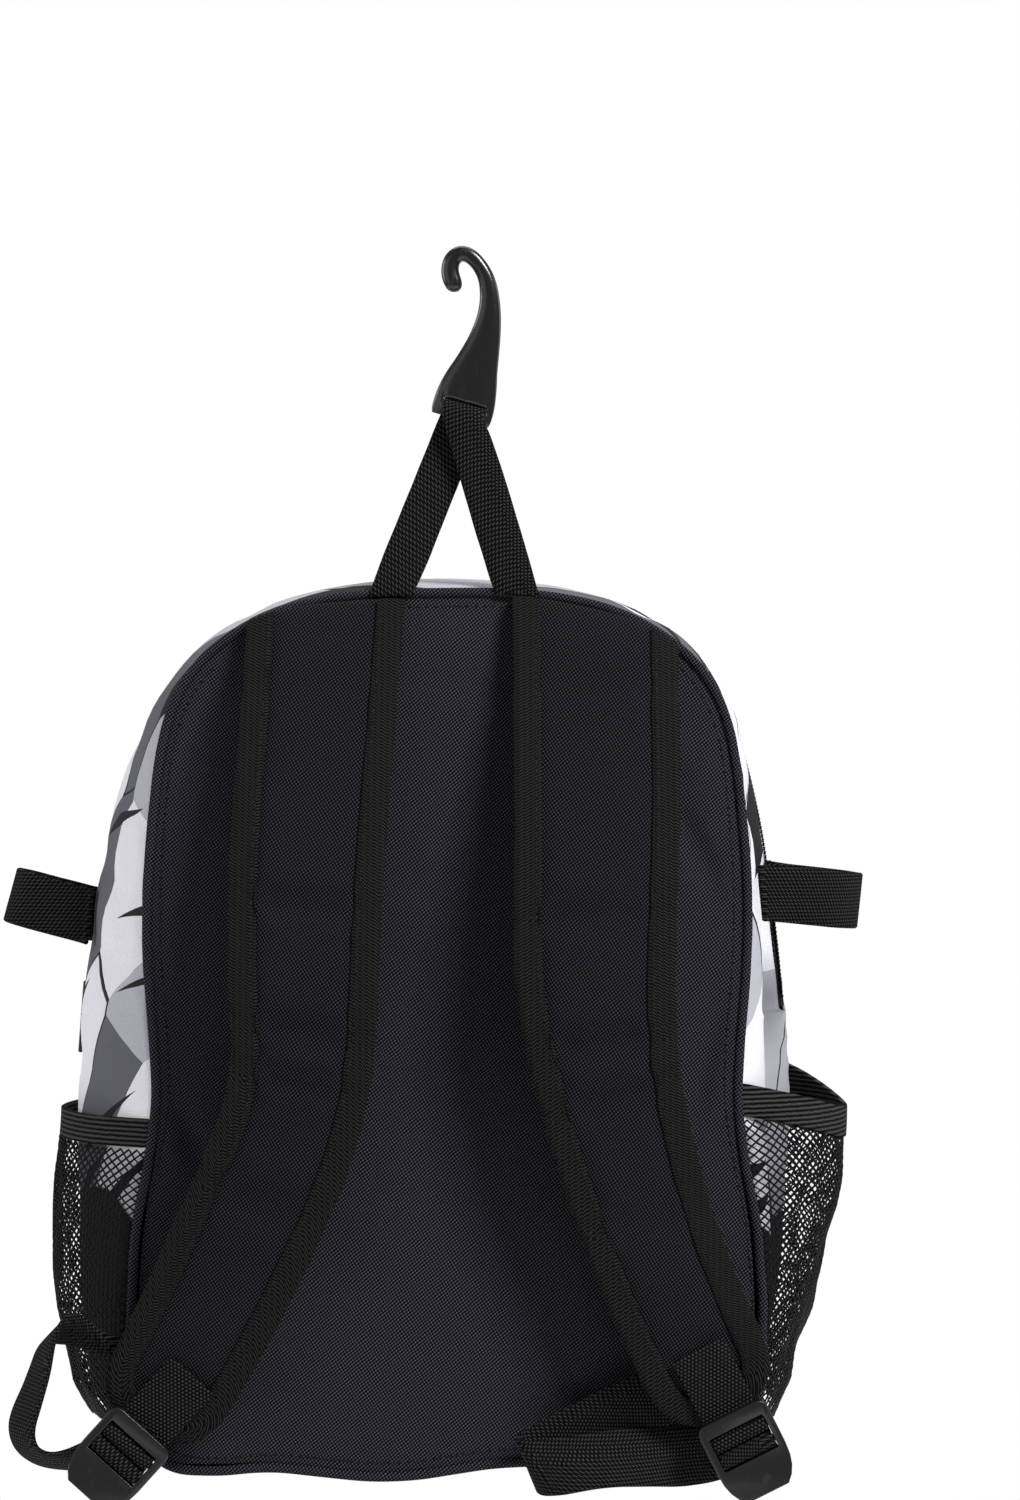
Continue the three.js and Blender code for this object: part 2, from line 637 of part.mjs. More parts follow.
// The tape folded over the strap's edge, down one side, round the end and up the other.
function strapBinding(strap) {
  const rows = strapRows(strap);
  const route = [
    ...rows.map(({ s, half }) => ({ s, offset: -half })),
    ...rows.toReversed().map(({ s, half }) => ({ s, offset: half })),
  ];
  const inHalf = strapEdge / 2 + bindingEase;
  const outHalf = inHalf + bindingWall;
  const section = [
    [gap + bindingWall, outHalf],
    [-bindingWidth, outHalf],
    [-bindingWidth, inHalf],
    [gap, inHalf],
    [gap, -inHalf],
    [-bindingWidth, -inHalf],
    [-bindingWidth, -outHalf],
    [gap + bindingWall, -outHalf],
  ];
  const sections = route.map((place, i) => {
    const before = route[Math.max(0, i - 1)];
    const after = route[Math.min(route.length - 1, i + 1)];
    const out = new THREE.Vector2(after.offset - before.offset, before.s - after.s).normalize();
    return section.map(([o, n]) => strap.point(place.s + out.x * o, place.offset + out.y * o, n));
  });
  return solidThrough(sections, section.map(([o, n]) => new THREE.Vector2(o, n)));
}

// Ladder locks hang past the strap's end: l runs along the lock, n to the wearer, a across it.
const layerBelow = lockThickness / 2 + gap + webbingWall / 2;
const layerUnder = layerBelow + webbingWall + threadEase;
function lockFrame(strap, side, degrees) {
  const aside = Math.tan(THREE.MathUtils.degToRad(degrees)) * -side;
  const tip = strap.point(strap.length, 0);
  const before = strap.point(strap.length - strapTipRadius, strapTipRadius * aside);
  const along = tip.clone().sub(before);
  along.y *= 0.4;
  along.normalize();
  const face = NEAR.clone().addScaledVector(along, -NEAR.dot(along)).normalize();
  const across = along.clone().cross(face).normalize();
  const raised = strapEdge / 2 + bindingEase + bindingWall + 2 * gap + webbingWall / 2 + layerUnder;
  const origin = tip.clone().addScaledVector(along, lockStandOff).addScaledVector(face, raised);
  const place = (l, n, a = 0) =>
    origin.clone().addScaledVector(along, l).addScaledVector(face, n).addScaledVector(across, a);
  return { place, along, face, across, raised, aside };
}
const lockBend = lockBarSize / 2 + gap + webbingWall / 2;
const fixedBar = lockTopBar + webbingWall + 2 * threadEase + lockBarSize / 2;
const slidingBar = fixedBar + 2 * lockBend + webbingWall + threadEase;
const lockWindowEnd = slidingBar + lockBend + webbingWall / 2 + threadEase;

// The lock is a plate with one window, across which its two round bars lie.
function ladderLock(frame) {
  const end = lockWindowEnd + lockLip;
  const half = lockWidth / 2;
  const outline = new THREE.Shape();
  outline.moveTo(lockCorner - half, 0);
  outline.lineTo(half - lockCorner, 0);
  outline.quadraticCurveTo(half, 0, half, lockCorner);
  outline.lineTo(half, lockWindowEnd);
  outline.quadraticCurveTo(half, end - lockCorner, half * 0.6, end);
  outline.lineTo(-half * 0.6, end);
  outline.quadraticCurveTo(-half, end - lockCorner, -half, lockWindowEnd);
  outline.lineTo(-half, lockCorner);
  outline.quadraticCurveTo(-half, 0, lockCorner - half, 0);
  const window = strapWebbing / 2 + threadEase;
  const hole = new THREE.Path();
  hole.moveTo(-window, lockTopBar);
  hole.lineTo(window, lockTopBar);
  hole.lineTo(window, lockWindowEnd);
  hole.lineTo(-window, lockWindowEnd);
  hole.closePath();
  outline.holes.push(hole);
  const settings = { depth: lockThickness, bevelEnabled: false, curveSegments: 4 };
  const plate = new THREE.ExtrudeGeometry(outline, settings).translate(0, 0, -lockThickness / 2);
  const bar = (place) => {
    const long = 2 * (window + lockBarRoot);
    const made = new THREE.CylinderGeometry(lockBarSize / 2, lockBarSize / 2, long, 8);
    return made.rotateZ(Math.PI / 2).translate(0, place, 0);
  };
  const lock = joined(plate, [bar(fixedBar), bar(slidingBar)], []);
  const turn = new THREE.Matrix4().makeBasis(frame.across, frame.along, frame.face);
  return lock.applyMatrix4(turn.setPosition(frame.place(0, 0)));
}

// Webbing over one of the lock's bars, at angles from its slot on the strap's side.
const overBar = (frame, bar, angles) =>
  angles.map((degrees) => {
    const angle = THREE.MathUtils.degToRad(degrees);
    const at = frame.place(bar - lockBend * Math.cos(angle), lockBend * Math.sin(angle));
    return { at, wide: frame.across };
  });

// The webbing patch sewn on the strap, over the fixed bar and back under the lock.
function strapPatch(strap, frame) {
  const onFace = strapThickness / 2 + 5 * gap + webbingWall / 2;
  const lying = [1, 0.7, 0.4].map((share) => ({
    at: strap.point(strap.length - patchLength * share, patchLength * share * frame.aside, onFace),
    wide: frame.across,
  }));
  const threaded = [
    [0, -layerBelow],
    [lockTopBar, -layerBelow],
    [fixedBar - lockBend, -layerBelow * 0.55],
  ];
  const returning = [
    [fixedBar + lockBend * 0.3, -lockBend * 1.1],
    [fixedBar - lockBend * 1.4, -layerUnder],
    [gap, -layerUnder],
  ];
  const laid = ([l, n]) => ({ at: frame.place(l, n), wide: frame.across });
  const rows = [
    ...lying,
    ...threaded.map(laid),
    ...overBar(frame, fixedBar, [0, 45, 90, 135, 180]),
    ...returning.map(laid),
  ];
  return ribbon(rows, strapWebbing, webbingWall, 2);
}

// The bar at the hook's foot, tilted as the two legs of the hang loop pull it.
const barAngle = THREE.MathUtils.degToRad(-hookTilt);
const barWide = vector(Math.cos(barAngle), 0, Math.sin(barAngle));
const barDown = vector(Math.sin(barAngle), 0, -Math.cos(barAngle));
const hangY = backY(0, backHeight - strapTopDrop) - 3 * gap - webbingWall / 2;
const barCentre = vector(hangMiddle + hookAside, hangY, backHeight + hangRise);
const seatPlace = barCentre.clone().add(vector(0, 0, hookDrop));
const barHalfDepth = (hookRod * HOOK_SECTIONS.at(-3).deep) / 2;
const hangBend = Math.hypot(hookBar / 2, barHalfDepth) + gap + webbingWall / 2;
const hookSlot = hangBend + webbingWall / 2 + 2 * gap - hookBar / 2;

function fenceHook() {
  const rows = HOOK_SECTIONS.map((row) => ({
    at: vector(row.across * hookDrop, 0, -row.down * hookDrop),
    half: (row.wide * hookPlate) / 2,
    deep: (row.deep * hookRod) / 2,
  }));
  const angles = spaced(0, 2 * Math.PI, 12).slice(0, -1);
  const squared = (value) => Math.sign(value) * Math.abs(value) ** 0.75;
  const sections = rows.map(({ at, half, deep }, i) => {
    const before = rows[Math.max(0, i - 1)].at;
    const after = rows[Math.min(rows.length - 1, i + 1)].at;
    const along = after.clone().sub(before).normalize();
    const wide = along.clone().cross(NEAR).normalize();
    return angles.map((angle) =>
      at
        .clone()
        .addScaledVector(wide, half * squared(Math.cos(angle)))
        .addScaledVector(NEAR, deep * squared(Math.sin(angle))),
    );
  });
  const flat = angles.map((angle) => new THREE.Vector2(Math.cos(angle), Math.sin(angle)));
  const body = solidThrough(sections, flat).translate(seatPlace.x, seatPlace.y, seatPlace.z);
  const slot = new THREE.BoxGeometry(hangWebbing + 6 * gap, hookRod * 2, hookSlot);
  const turn = new THREE.Matrix4().makeBasis(barWide, vector(0, 1, 0), barDown.clone().negate());
  const centre = barCentre.clone().addScaledVector(barDown, -(hookSlot + hookBar) / 2);
  return joined(body, [], [slot.applyMatrix4(turn.setPosition(centre))]);
}

// The hang loop rises from the back's top seam, goes over the hook's bar and comes down again.
function hangLoop() {
  const foot = (x) => {
    const turn = turnOfBack(x);
    const at = backCurve.getPointAt(turn);
    return { at: vector(at.x, hangY, at.z - strapTopDrop), wide: backCurve.getTangentAt(turn).negate() };
  };
  const left = foot(hangMiddle - hangSpread / 2);
  const right = foot(hangMiddle + hangSpread / 2);
  const over = [0, 45, 90, 135, 180].map((degrees) => {
    const angle = THREE.MathUtils.degToRad(degrees);
    const at = barCentre.clone().addScaledVector(barDown, -hangBend * Math.sin(angle));
    return { at: at.add(vector(0, hangBend * Math.cos(angle), 0)), wide: barWide };
  });
  const leg = (end, top, share, turned) => {
    const along = top.at.clone().sub(end.at).normalize();
    const across = along.cross(NEAR).normalize();
    return { at: end.at.clone().lerp(top.at, share), wide: across.lerp(barWide, turned).normalize() };
  };
  const rows = [
    left,
    leg(left, over[0], 0.15, 0),
    leg(left, over[0], 0.5, 0),
    leg(left, over[0], 0.88, 0.8),
    ...over,
    leg(right, over[4], 0.86, 0.6),
    leg(right, over[4], 0.5, 0),
    leg(right, over[4], 0.15, 0),
    right,
  ];
  return ribbon(rows, hangWebbing, webbingWall, 3);
}

// Where a place across the bag lies on the back's top seam.
function turnOfBack(x) {
  let [low, high] = [0.25, 0.5];
  for (let i = 0; i < 20; i++) {
    const turn = (low + high) / 2;
    if (backCurve.getPointAt(turn).x > Math.abs(x)) low = turn;
    else high = turn;
  }
  return x > 0 ? low : 1 - low;
}

// A side loop: its two feet lie on the gusset, and between them it stands out as an open ring.
function sideLoop(side, z, place, opening, reach, tilt) {
  const first = gussetPoint(turnAtHeight(side, 0, z), 0);
  const last = gussetPoint(turnAtHeight(side, 1, z), 1);
  const seat = (y) => {
    const frame = sideFrame(side, z, clamp((y - first.y) / (last.y - first.y)));
    const at = frame.at.addScaledVector(frame.normal, loopEase + loopWall / 2);
    return { at, wide: frame.up };
  };
  const half = opening / 2;
  const angle = THREE.MathUtils.degToRad(tilt);
  const out = vector(side * Math.cos(angle), 0, Math.sin(angle));
  const wide = vector(-side * Math.sin(angle), 0, Math.cos(angle));
  const base = seat(place - half).at.lerp(seat(place + half).at, 0.5);
  const round = Math.min(half, reach);
  const arc = spaced(-90, 90, 8).map((degrees) => {
    const turn = THREE.MathUtils.degToRad(degrees);
    const at = base.clone().addScaledVector(out, reach - round + round * Math.cos(turn));
    return { at: at.add(vector(0, half * Math.sin(turn), 0)), wide };
  });
  const rows = [
    seat(place - half - loopFoot),
    seat(place - half - loopFoot * 0.4),
    ...arc,
    seat(place + half + loopFoot * 0.4),
    seat(place + half + loopFoot),
  ];
  return ribbon(rows, loopHeight, loopWall, 2);
}

// A net pocket's surface: a runs from the back seam to the front, b from foot to mouth.
function pocketSurface(side, bulge, swell, slope) {
  return (a, b) => {
    const v = mix(pocketFrom, pocketTo, a);
    const hang = slope * Math.sin(Math.PI * a);
    const z = mix(pocketFoot, pocketTop + slope - hang, b);
    const turn = turnAtHeight(side, v, z);
    const normal = gussetNormal(turn, v, false);
    const swelling = bulge * Math.sin(Math.PI * clamp(a)) ** 0.7 * readTable(swell, "up", "share", b);
    const at = gussetPoint(turn, v, false);
    return { at: at.addScaledVector(normal, seamEase + swelling), normal };
  };
}
function pocketSheet(surface, shares, rows, wall) {
  const place = (lift) =>
    rows.map((b) =>
      shares.map((a) => {
        const { at, normal } = surface(a, b);
        return at.addScaledVector(normal, lift);
      }),
    );
  return solidBetween(place(wall), place(0));
}
const bandShare = 1 - pocketBand / (pocketTop - pocketFoot);
const seamShare = gap / (pocketTop - pocketFoot);
const pocketShares = [0, 0.08, 0.2, 0.35, 0.5, 0.65, 0.8, 0.92, 1];
const netRows = spaced(0, bandShare - seamShare, 8);
const bandRows = spaced(bandShare, 1, 2);
const pocketNet = (surface) => pocketSheet(surface, pocketShares, netRows, pocketWall);
const pocketTopBand = (surface) => pocketSheet(surface, pocketShares, bandRows, pocketBandWall);

// The webbing from its seam at the bag's foot corner through its slack, in behind the strap,
// round a slanting fold, up over the lock's sliding bar and out under its lip.
function strapWebbingRows(side, frame, slack) {
  const loose = slack.map((row) => ({
    at: vector(
      (side * row.out * backWidth) / 2,
      -depthAt(0) / 2 - gap - webbingWall - row.near * slackDepth,
      row.up * slackRise,
    ),
    wide: vector(side * row.wideOut, -row.wideNear, row.wideUp).normalize(),
  }));
  const half = strapWebbing / 2;
  const behind = -frame.raised - strapEdge / 2 - bindingEase - bindingWall - seamEase - webbingWall;
  const layer = webbingWall + gap;
  const fold = (l, a, n, wideAcross, wideAlong) => ({
    at: frame.place(l, n, a),
    wide: frame.across.clone().multiplyScalar(wideAcross).addScaledVector(frame.along, wideAlong),
  });
  const folded = [
    fold(-half, half, behind - 2 * layer, 0, -1),
    fold(-half, layer, behind - layer, 1, -1),
    fold(-half - layer / 2, -layer / 2, behind - layer / 2, 1, -1),
    fold(-half, 0, behind, 1, -1),
    fold(0, 0, behind, 1, 0),
  ];
  const rising = [
    [lockTopBar * 1.2, behind * 0.86],
    [slidingBar - lockBend * 1.2, -layerUnder * 1.15],
  ];
  const leaving = [
    [slidingBar + lockBend, -lockThickness * 0.4],
    [lockWindowEnd + 2 * threadEase, -layerBelow - 2 * threadEase],
    [lockWindowEnd + lockLip * 0.35, -layerBelow],
    [lockWindowEnd + lockLip * 0.8, -layerBelow],
  ];
  const laid = ([l, n]) => ({ at: frame.place(l, n), wide: frame.across });
  const over = overBar(frame, slidingBar, [0, 45, 90, 135, 180]);
  return [...loose, ...folded, ...rising.map(laid), ...over, ...leaving.map(laid)];
}

// Colours read from the photograph, as plain materials
const cloth = (colour) => new THREE.MeshStandardMaterial({ color: colour, roughness: 0.85, metalness: 0 });
const plastic = new THREE.MeshStandardMaterial({ color: 0x1b1b1e, roughness: 0.4, metalness: 0 });
const blackCloth = cloth(0x1d1d21);
const printCloth = cloth(0xc9c9d0);
const blackWebbing = cloth(0x151516);
const blackNet = cloth(0x101012);

const backpack = new THREE.Group();
backpack.name = "bat_backpack";
const frameOfBag = new THREE.Group();
frameOfBag.position.copy(seatPlace).negate();
backpack.add(frameOfBag);

function add(name, geometry, material) {
  const mesh = new THREE.Mesh(geometry, material);
  mesh.name = name;
  frameOfBag.add(mesh);
}

add("back_panel", panel(backCurve, backHeight, backY, backPadding, backRim, -1), blackCloth);
add("front_panel", panel(frontCurve, frontHeight, frontY, clothWall, clothWall, 1), blackCloth);
add("gusset_rear", gussetRear(), printCloth);
add("gusset_front", gussetFront(), printCloth);
add("base_panel", basePanel(), blackCloth);
add("zip_tape", zipTape(), blackWebbing);
add("zip_slider", zipSlider(), plastic);
add("zip_pull", zipPull(), plastic);
add("fence_hook", fenceHook(), plastic);
add("hang_loop", hangLoop(), blackWebbing);
const leftLoop = sideLoop(-1, leftLoopRise, 0, leftLoopGap, leftLoopReach, leftLoopTilt);
const rightLoop = sideLoop(1, rightLoopRise, batPlace, rightLoopGap, rightLoopReach, rightLoopTilt);
add("bat_loop_left", leftLoop, blackWebbing);
add("bat_loop_right", rightLoop, blackWebbing);

const SIDES = {
  left: {
    side: -1,
    table: LEFT_STRAP,
    lockTurn: leftLockTurn,
    slack: LEFT_SLACK,
    bulge: leftPocketBulge,
    swell: LEFT_SWELL,
    slope: 0,
  },
  right: {
    side: 1,
    table: RIGHT_STRAP,
    lockTurn: rightLockTurn,
    slack: RIGHT_SLACK,
    bulge: rightPocketBulge,
    swell: RIGHT_SWELL,
    slope: pocketSlope,
  },
};
for (const [name, { side, table, lockTurn, slack, bulge, swell, slope }] of Object.entries(SIDES)) {
  const strap = strapSurface(table);
  const frame = lockFrame(strap, side, lockTurn);
  const pocket = pocketSurface(side, bulge, swell, slope);
  const webbing = ribbon(strapWebbingRows(side, frame, slack), strapWebbing, webbingWall, 2);
  add(`strap_${name}`, strapBody(strap), blackCloth);
  add(`strap_binding_${name}`, strapBinding(strap), blackWebbing);
  add(`ladder_lock_${name}`, ladderLock(frame), plastic);
  add(`strap_patch_${name}`, strapPatch(strap, frame), blackWebbing);
  add(`strap_webbing_${name}`, webbing, blackWebbing);
  add(`pocket_net_${name}`, pocketNet(pocket), blackNet);
  add(`pocket_band_${name}`, pocketTopBand(pocket), blackWebbing);
}

export default backpack;
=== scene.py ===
"""A youth baseball bat backpack, hung by its fence hook and seen from the strap side.

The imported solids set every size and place. This file dresses them: twill panels, printed sides, padded
straps, webbing, net pockets, a zip, seams and stitches. Units are metres, +Z is up, and the straps face -Y.
"""

import math

import bmesh
import bpy
import numpy as np
from bpy.props import FloatProperty, FloatVectorProperty, IntProperty, PointerProperty
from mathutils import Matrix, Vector, noise
from mathutils.bvhtree import BVHTree
from mathutils.kdtree import KDTree


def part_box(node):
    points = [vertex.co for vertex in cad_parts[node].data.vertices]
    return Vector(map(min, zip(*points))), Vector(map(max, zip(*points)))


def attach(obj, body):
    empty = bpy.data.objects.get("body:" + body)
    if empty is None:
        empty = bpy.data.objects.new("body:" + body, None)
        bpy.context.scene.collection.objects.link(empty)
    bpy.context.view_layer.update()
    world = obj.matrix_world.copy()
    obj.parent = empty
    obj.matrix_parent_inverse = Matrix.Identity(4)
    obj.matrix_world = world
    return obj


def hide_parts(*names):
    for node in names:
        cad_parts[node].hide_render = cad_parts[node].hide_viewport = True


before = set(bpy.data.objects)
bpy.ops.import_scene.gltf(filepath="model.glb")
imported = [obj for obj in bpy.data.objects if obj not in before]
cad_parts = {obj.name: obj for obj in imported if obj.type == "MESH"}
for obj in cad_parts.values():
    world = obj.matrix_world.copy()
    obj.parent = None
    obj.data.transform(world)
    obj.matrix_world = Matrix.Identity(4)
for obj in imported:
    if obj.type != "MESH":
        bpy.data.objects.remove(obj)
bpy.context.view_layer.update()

bl_info = {
    "name": "Bat Backpack",
    "version": (1, 0, 0),
    "blender": (4, 5, 0),
    "location": "View3D > Sidebar > Bag",
    "description": "Dresses the solids of a youth baseball bat backpack in cloth, net and plastic",
    "category": "Object",
}

SIDES = ("left", "right")
BODY = "root"
MILLIMETRE = 0.001
WELD = 0.01 * MILLIMETRE
GUSSET_LOW, GUSSET_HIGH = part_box("gusset_rear")
BAG_MIDDLE = Vector(
    (
        (GUSSET_LOW.x + GUSSET_HIGH.x) / 2,
        (GUSSET_LOW.y + GUSSET_HIGH.y) / 2,
        (GUSSET_LOW.z + GUSSET_HIGH.z) / 2,
    )
)
TOWARDS_STRAPS = Vector((0, -1, 0))
TOWARDS_FRONT = Vector((0, 1, 0))

# Creases across the shoulder straps: height on the strap's middle line, fall towards +X,
# depth and half width, all in millimetres.
STRAP_CREASES = {
    "left": (
        {"height": -190, "fall": 0.04, "depth": 1.4, "half": 6},
        {"height": -287, "fall": -0.10, "depth": 3.0, "half": 5},
        {"height": -343, "fall": -0.16, "depth": 3.4, "half": 6},
        {"height": -362, "fall": -0.30, "depth": 2.8, "half": 5},
        {"height": -418, "fall": -0.30, "depth": 2.2, "half": 8},
    ),
    "right": (
        {"height": -190, "fall": -0.04, "depth": 1.4, "half": 6},
        {"height": -292, "fall": 0.10, "depth": 2.4, "half": 6},
        {"height": -348, "fall": 0.14, "depth": 3.4, "half": 6},
        {"height": -372, "fall": 0.28, "depth": 3.0, "half": 5},
        {"height": -425, "fall": 0.30, "depth": 2.2, "half": 8},
    ),
}

# Folds pressed into the back panel: middle, turn from level in degrees, half length, half width
# and depth, with the places and sizes in millimetres.
BACK_FOLDS = (
    {"x": -122, "z": -392, "turn": -58, "length": 30, "width": 7, "depth": 3.6},
    {"x": -116, "z": -214, "turn": 64, "length": 26, "width": 6, "depth": 2.8},
    {"x": 100, "z": -256, "turn": -62, "length": 36, "width": 7, "depth": 3.6},
    {"x": 88, "z": -222, "turn": -50, "length": 28, "width": 6, "depth": 2.6},
    {"x": 112, "z": -352, "turn": 74, "length": 40, "width": 7, "depth": 3.0},
    {"x": -8, "z": -480, "turn": 5, "length": 60, "width": 9, "depth": 1.2},
    {"x": -100, "z": -508, "turn": 30, "length": 24, "width": 5, "depth": 2.0},
    {"x": 60, "z": -506, "turn": -18, "length": 30, "width": 6, "depth": 1.8},
    {"x": -4, "z": -300, "turn": 88, "length": 90, "width": 11, "depth": 1.0},
    {"x": 8, "z": -190, "turn": -3, "length": 42, "width": 4, "depth": 0.8},
)

# Folds in the sides: angle round the bag in degrees from +X towards +Z, depth from the strap
# side as a share, half length along the depth as a share, half width and depth in millimetres.
SIDE_FOLDS = (
    {"angle": 176, "share": 0.25, "length": 0.35, "width": 9, "depth": 2.6},
    {"angle": 163, "share": 0.30, "length": 0.40, "width": 8, "depth": 2.2},
    {"angle": 149, "share": 0.25, "length": 0.30, "width": 7, "depth": 2.8},
    {"angle": 140, "share": 0.60, "length": 0.40, "width": 10, "depth": 2.0},
    {"angle": 118, "share": 0.40, "length": 0.40, "width": 9, "depth": 1.6},
    {"angle": 62, "share": 0.35, "length": 0.40, "width": 9, "depth": 1.8},
    {"angle": 41, "share": 0.30, "length": 0.35, "width": 8, "depth": 2.6},
    {"angle": 30, "share": 0.25, "length": 0.35, "width": 8, "depth": 2.4},
    {"angle": 14, "share": 0.35, "length": 0.35, "width": 10, "depth": 2.2},
    {"angle": -8, "share": 0.60, "length": 0.40, "width": 10, "depth": 2.0},
    {"angle": 192, "share": 0.60, "length": 0.40, "width": 10, "depth": 2.0},
)


# Sizes and colours


def length_property(name, description, default, precision=5):
    """A size in metres for the sidebar."""
    return FloatProperty(
        name=name, description=description, default=default, unit="LENGTH", precision=precision
    )


def power_property(name, description, default):
    """A light's power for the sidebar."""
    return FloatProperty(name=name, description=description, default=default, unit="POWER")


def colour_property(name, description, default):
    """A colour for the sidebar."""
    return FloatVectorProperty(name=name, description=description, default=default, subtype="COLOR")


class BackpackClothSizes(bpy.types.PropertyGroup):
    """Sizes of the cloth, its padding and its seams."""

    weave_pitch: length_property("Weave pitch", "Width of one rib of the twill", 0.00125)
    weave_depth: length_property("Weave depth", "Height of the twill's ribs in the bump", 0.00035)
    strap_swell: length_property(
        "Strap swell",
        "Most that the foam pushes the strap's cloth out between its bindings",
        0.004,
        precision=4,
    )
    back_swell: length_property(
        "Back swell", "Most that the padding pushes the back panel out", 0.005, precision=4
    )
    padding_pressure: FloatProperty(
        name="Padding pressure",
        description="Pressure of the foam on its cover in the cloth simulation",
        default=4.0,
    )
    settle_frames: IntProperty(
        name="Settling frames",
        description="Frames that the cloth simulation runs for",
        default=20,
        min=2,
    )
    pinch: length_property("Seam pinch", "Depth of the small puckers beside a seam", 0.0006)
    pucker: length_property(
        "Pucker spacing", "Distance between two puckers beside a seam", 0.013, precision=4
    )
    welt: length_property("Seam welt", "Radius of the rolled seam between a panel and the sides", 0.0022)


class BackpackTrimSizes(bpy.types.PropertyGroup):
    """Sizes of the stitches, webbing, net and zip."""

    stitch_length: length_property("Stitch length", "Length of one stitch", 0.0026)
    stitch_gap: length_property("Stitch gap", "Gap between two stitches", 0.0011)
    thread: length_property("Thread radius", "Radius of the sewing thread", 0.00028)
    webbing_rib: length_property("Webbing rib", "Length of webbing that one rib takes", 0.0017)
    tape_rib: length_property("Tape rib", "Length of edge tape that one rib takes", 0.00145)
    elastic_rib: length_property("Elastic rib", "Height of pocket elastic that one rib takes", 0.0021)
    net_cell: length_property("Net cell", "Width of one diamond of the pocket net", 0.0046)
    net_rise: length_property("Net rise", "Height of one diamond of the pocket net", 0.0039)
    net_strand: length_property("Net strand", "Half thickness of one strand of the net", 0.0004)
    zip_pitch: length_property("Zip pitch", "Distance between two turns of the zip's coil", 0.002)
    zip_turn: length_property("Zip coil radius", "Radius of the monofilament of the zip's coil", 0.0006)


class BackpackColours(bpy.types.PropertyGroup):
    """Colours of the cloth and plastic."""

    panel: colour_property("Panel cloth", "Twill of the panels", (0.0192, 0.0183, 0.0237))
    strap: colour_property("Strap cloth", "Twill of the shoulder straps", (0.0108, 0.0104, 0.0136))
    tape: colour_property("Edge tape", "Tape round the straps' edges", (0.0056, 0.0056, 0.0054))
    webbing: colour_property("Webbing", "Webbing of the loops and adjusters", (0.0115, 0.0115, 0.012))
    net: colour_property("Net", "Strands of the pocket net", (0.006, 0.006, 0.0075))
    buckle: colour_property("Buckle plastic", "Moulded plastic of the buckles", (0.0045, 0.0045, 0.0058))
    hook: colour_property("Hook plastic", "Moulded plastic of the fence hook", (0.0045, 0.0045, 0.0056))
    print_light: colour_property("Print ground", "Palest shade of the print", (0.74, 0.74, 0.79))
    print_silver: colour_property("Print silver", "Light grey of the print", (0.42, 0.42, 0.47))
    print_grey: colour_property("Print grey", "Middle grey of the print", (0.11, 0.112, 0.13))
    print_dark: colour_property("Print black", "Darkest shade of the print", (0.012, 0.012, 0.015))


class BackpackStageLook(bpy.types.PropertyGroup):
    """Camera, floor and light."""

    camera_distance: length_property(
        "Camera distance", "From the camera to the hook's plane", 1.743, precision=2
    )
    camera_x: length_property("Camera across", "Camera's place across the bag", 0.0212, precision=4)
    camera_z: length_property(
        "Camera height", "Camera's height above the hook's seat", -0.2199, precision=4
    )
    lens: FloatProperty(
        name="Lens",
        description="Focal length in millimetres",
        default=92.88,
        subtype="DISTANCE_CAMERA",
    )
    floor_z: length_property(
        "Floor height", "Height of the floor under the hanging bag", -0.92, precision=2
    )
    floor_radius: length_property("Floor radius", "Radius of the round floor", 1.7, precision=2)
    room_light: FloatProperty(
        name="Room light", description="Strength of the white room's light", default=0.24
    )
    key_power: power_property("Key light", "Power of the main softbox", 70.0)
    fill_power: power_property("Fill light", "Power of the fill softbox", 6.0)
    rim_power: power_property("Rim light", "Power of each side softbox", 12.0)


# Meshes


def coordinates(obj):
    """The points of a mesh object as rows of x, y and z."""
    points = np.empty(len(obj.data.vertices) * 3)
    obj.data.vertices.foreach_get("co", points)
    return points.reshape(-1, 3)


def normals(obj):
    """The point normals of a mesh object as rows of x, y and z."""
    found = np.empty(len(obj.data.vertices) * 3)
    obj.data.vertex_normals.foreach_get("vector", found)
    return found.reshape(-1, 3)


def move_points(obj, points):
    """Writes new places for all the points of a mesh object."""
    obj.data.vertices.foreach_set("co", np.ascontiguousarray(points, dtype=np.float32).ravel())
    obj.data.update()


def add_object(name, mesh):
    """Links a mesh as a new object with smooth faces."""
    obj = bpy.data.objects.new(name, mesh)
    bpy.context.scene.collection.objects.link(obj)
    mesh.polygons.foreach_set("use_smooth", [True] * len(mesh.polygons))
    return obj


def mesh_object(name, points, faces):
    """A new object from lists of points and faces."""
    mesh = bpy.data.meshes.new(name)
    mesh.from_pydata([tuple(point) for point in points], [], faces)
    mesh.validate()
    mesh.update()
    return add_object(name, mesh)


def settle_modifiers(obj):
    """Keeps what an object's modifiers make of its mesh, and removes them."""
    evaluated = obj.evaluated_get(bpy.context.evaluated_depsgraph_get())
    made = bpy.data.meshes.new_from_object(evaluated)
    old = obj.data
    obj.modifiers.clear()
    obj.data = made
    bpy.data.meshes.remove(old)
    made.polygons.foreach_set("use_smooth", [True] * len(made.polygons))
    return obj


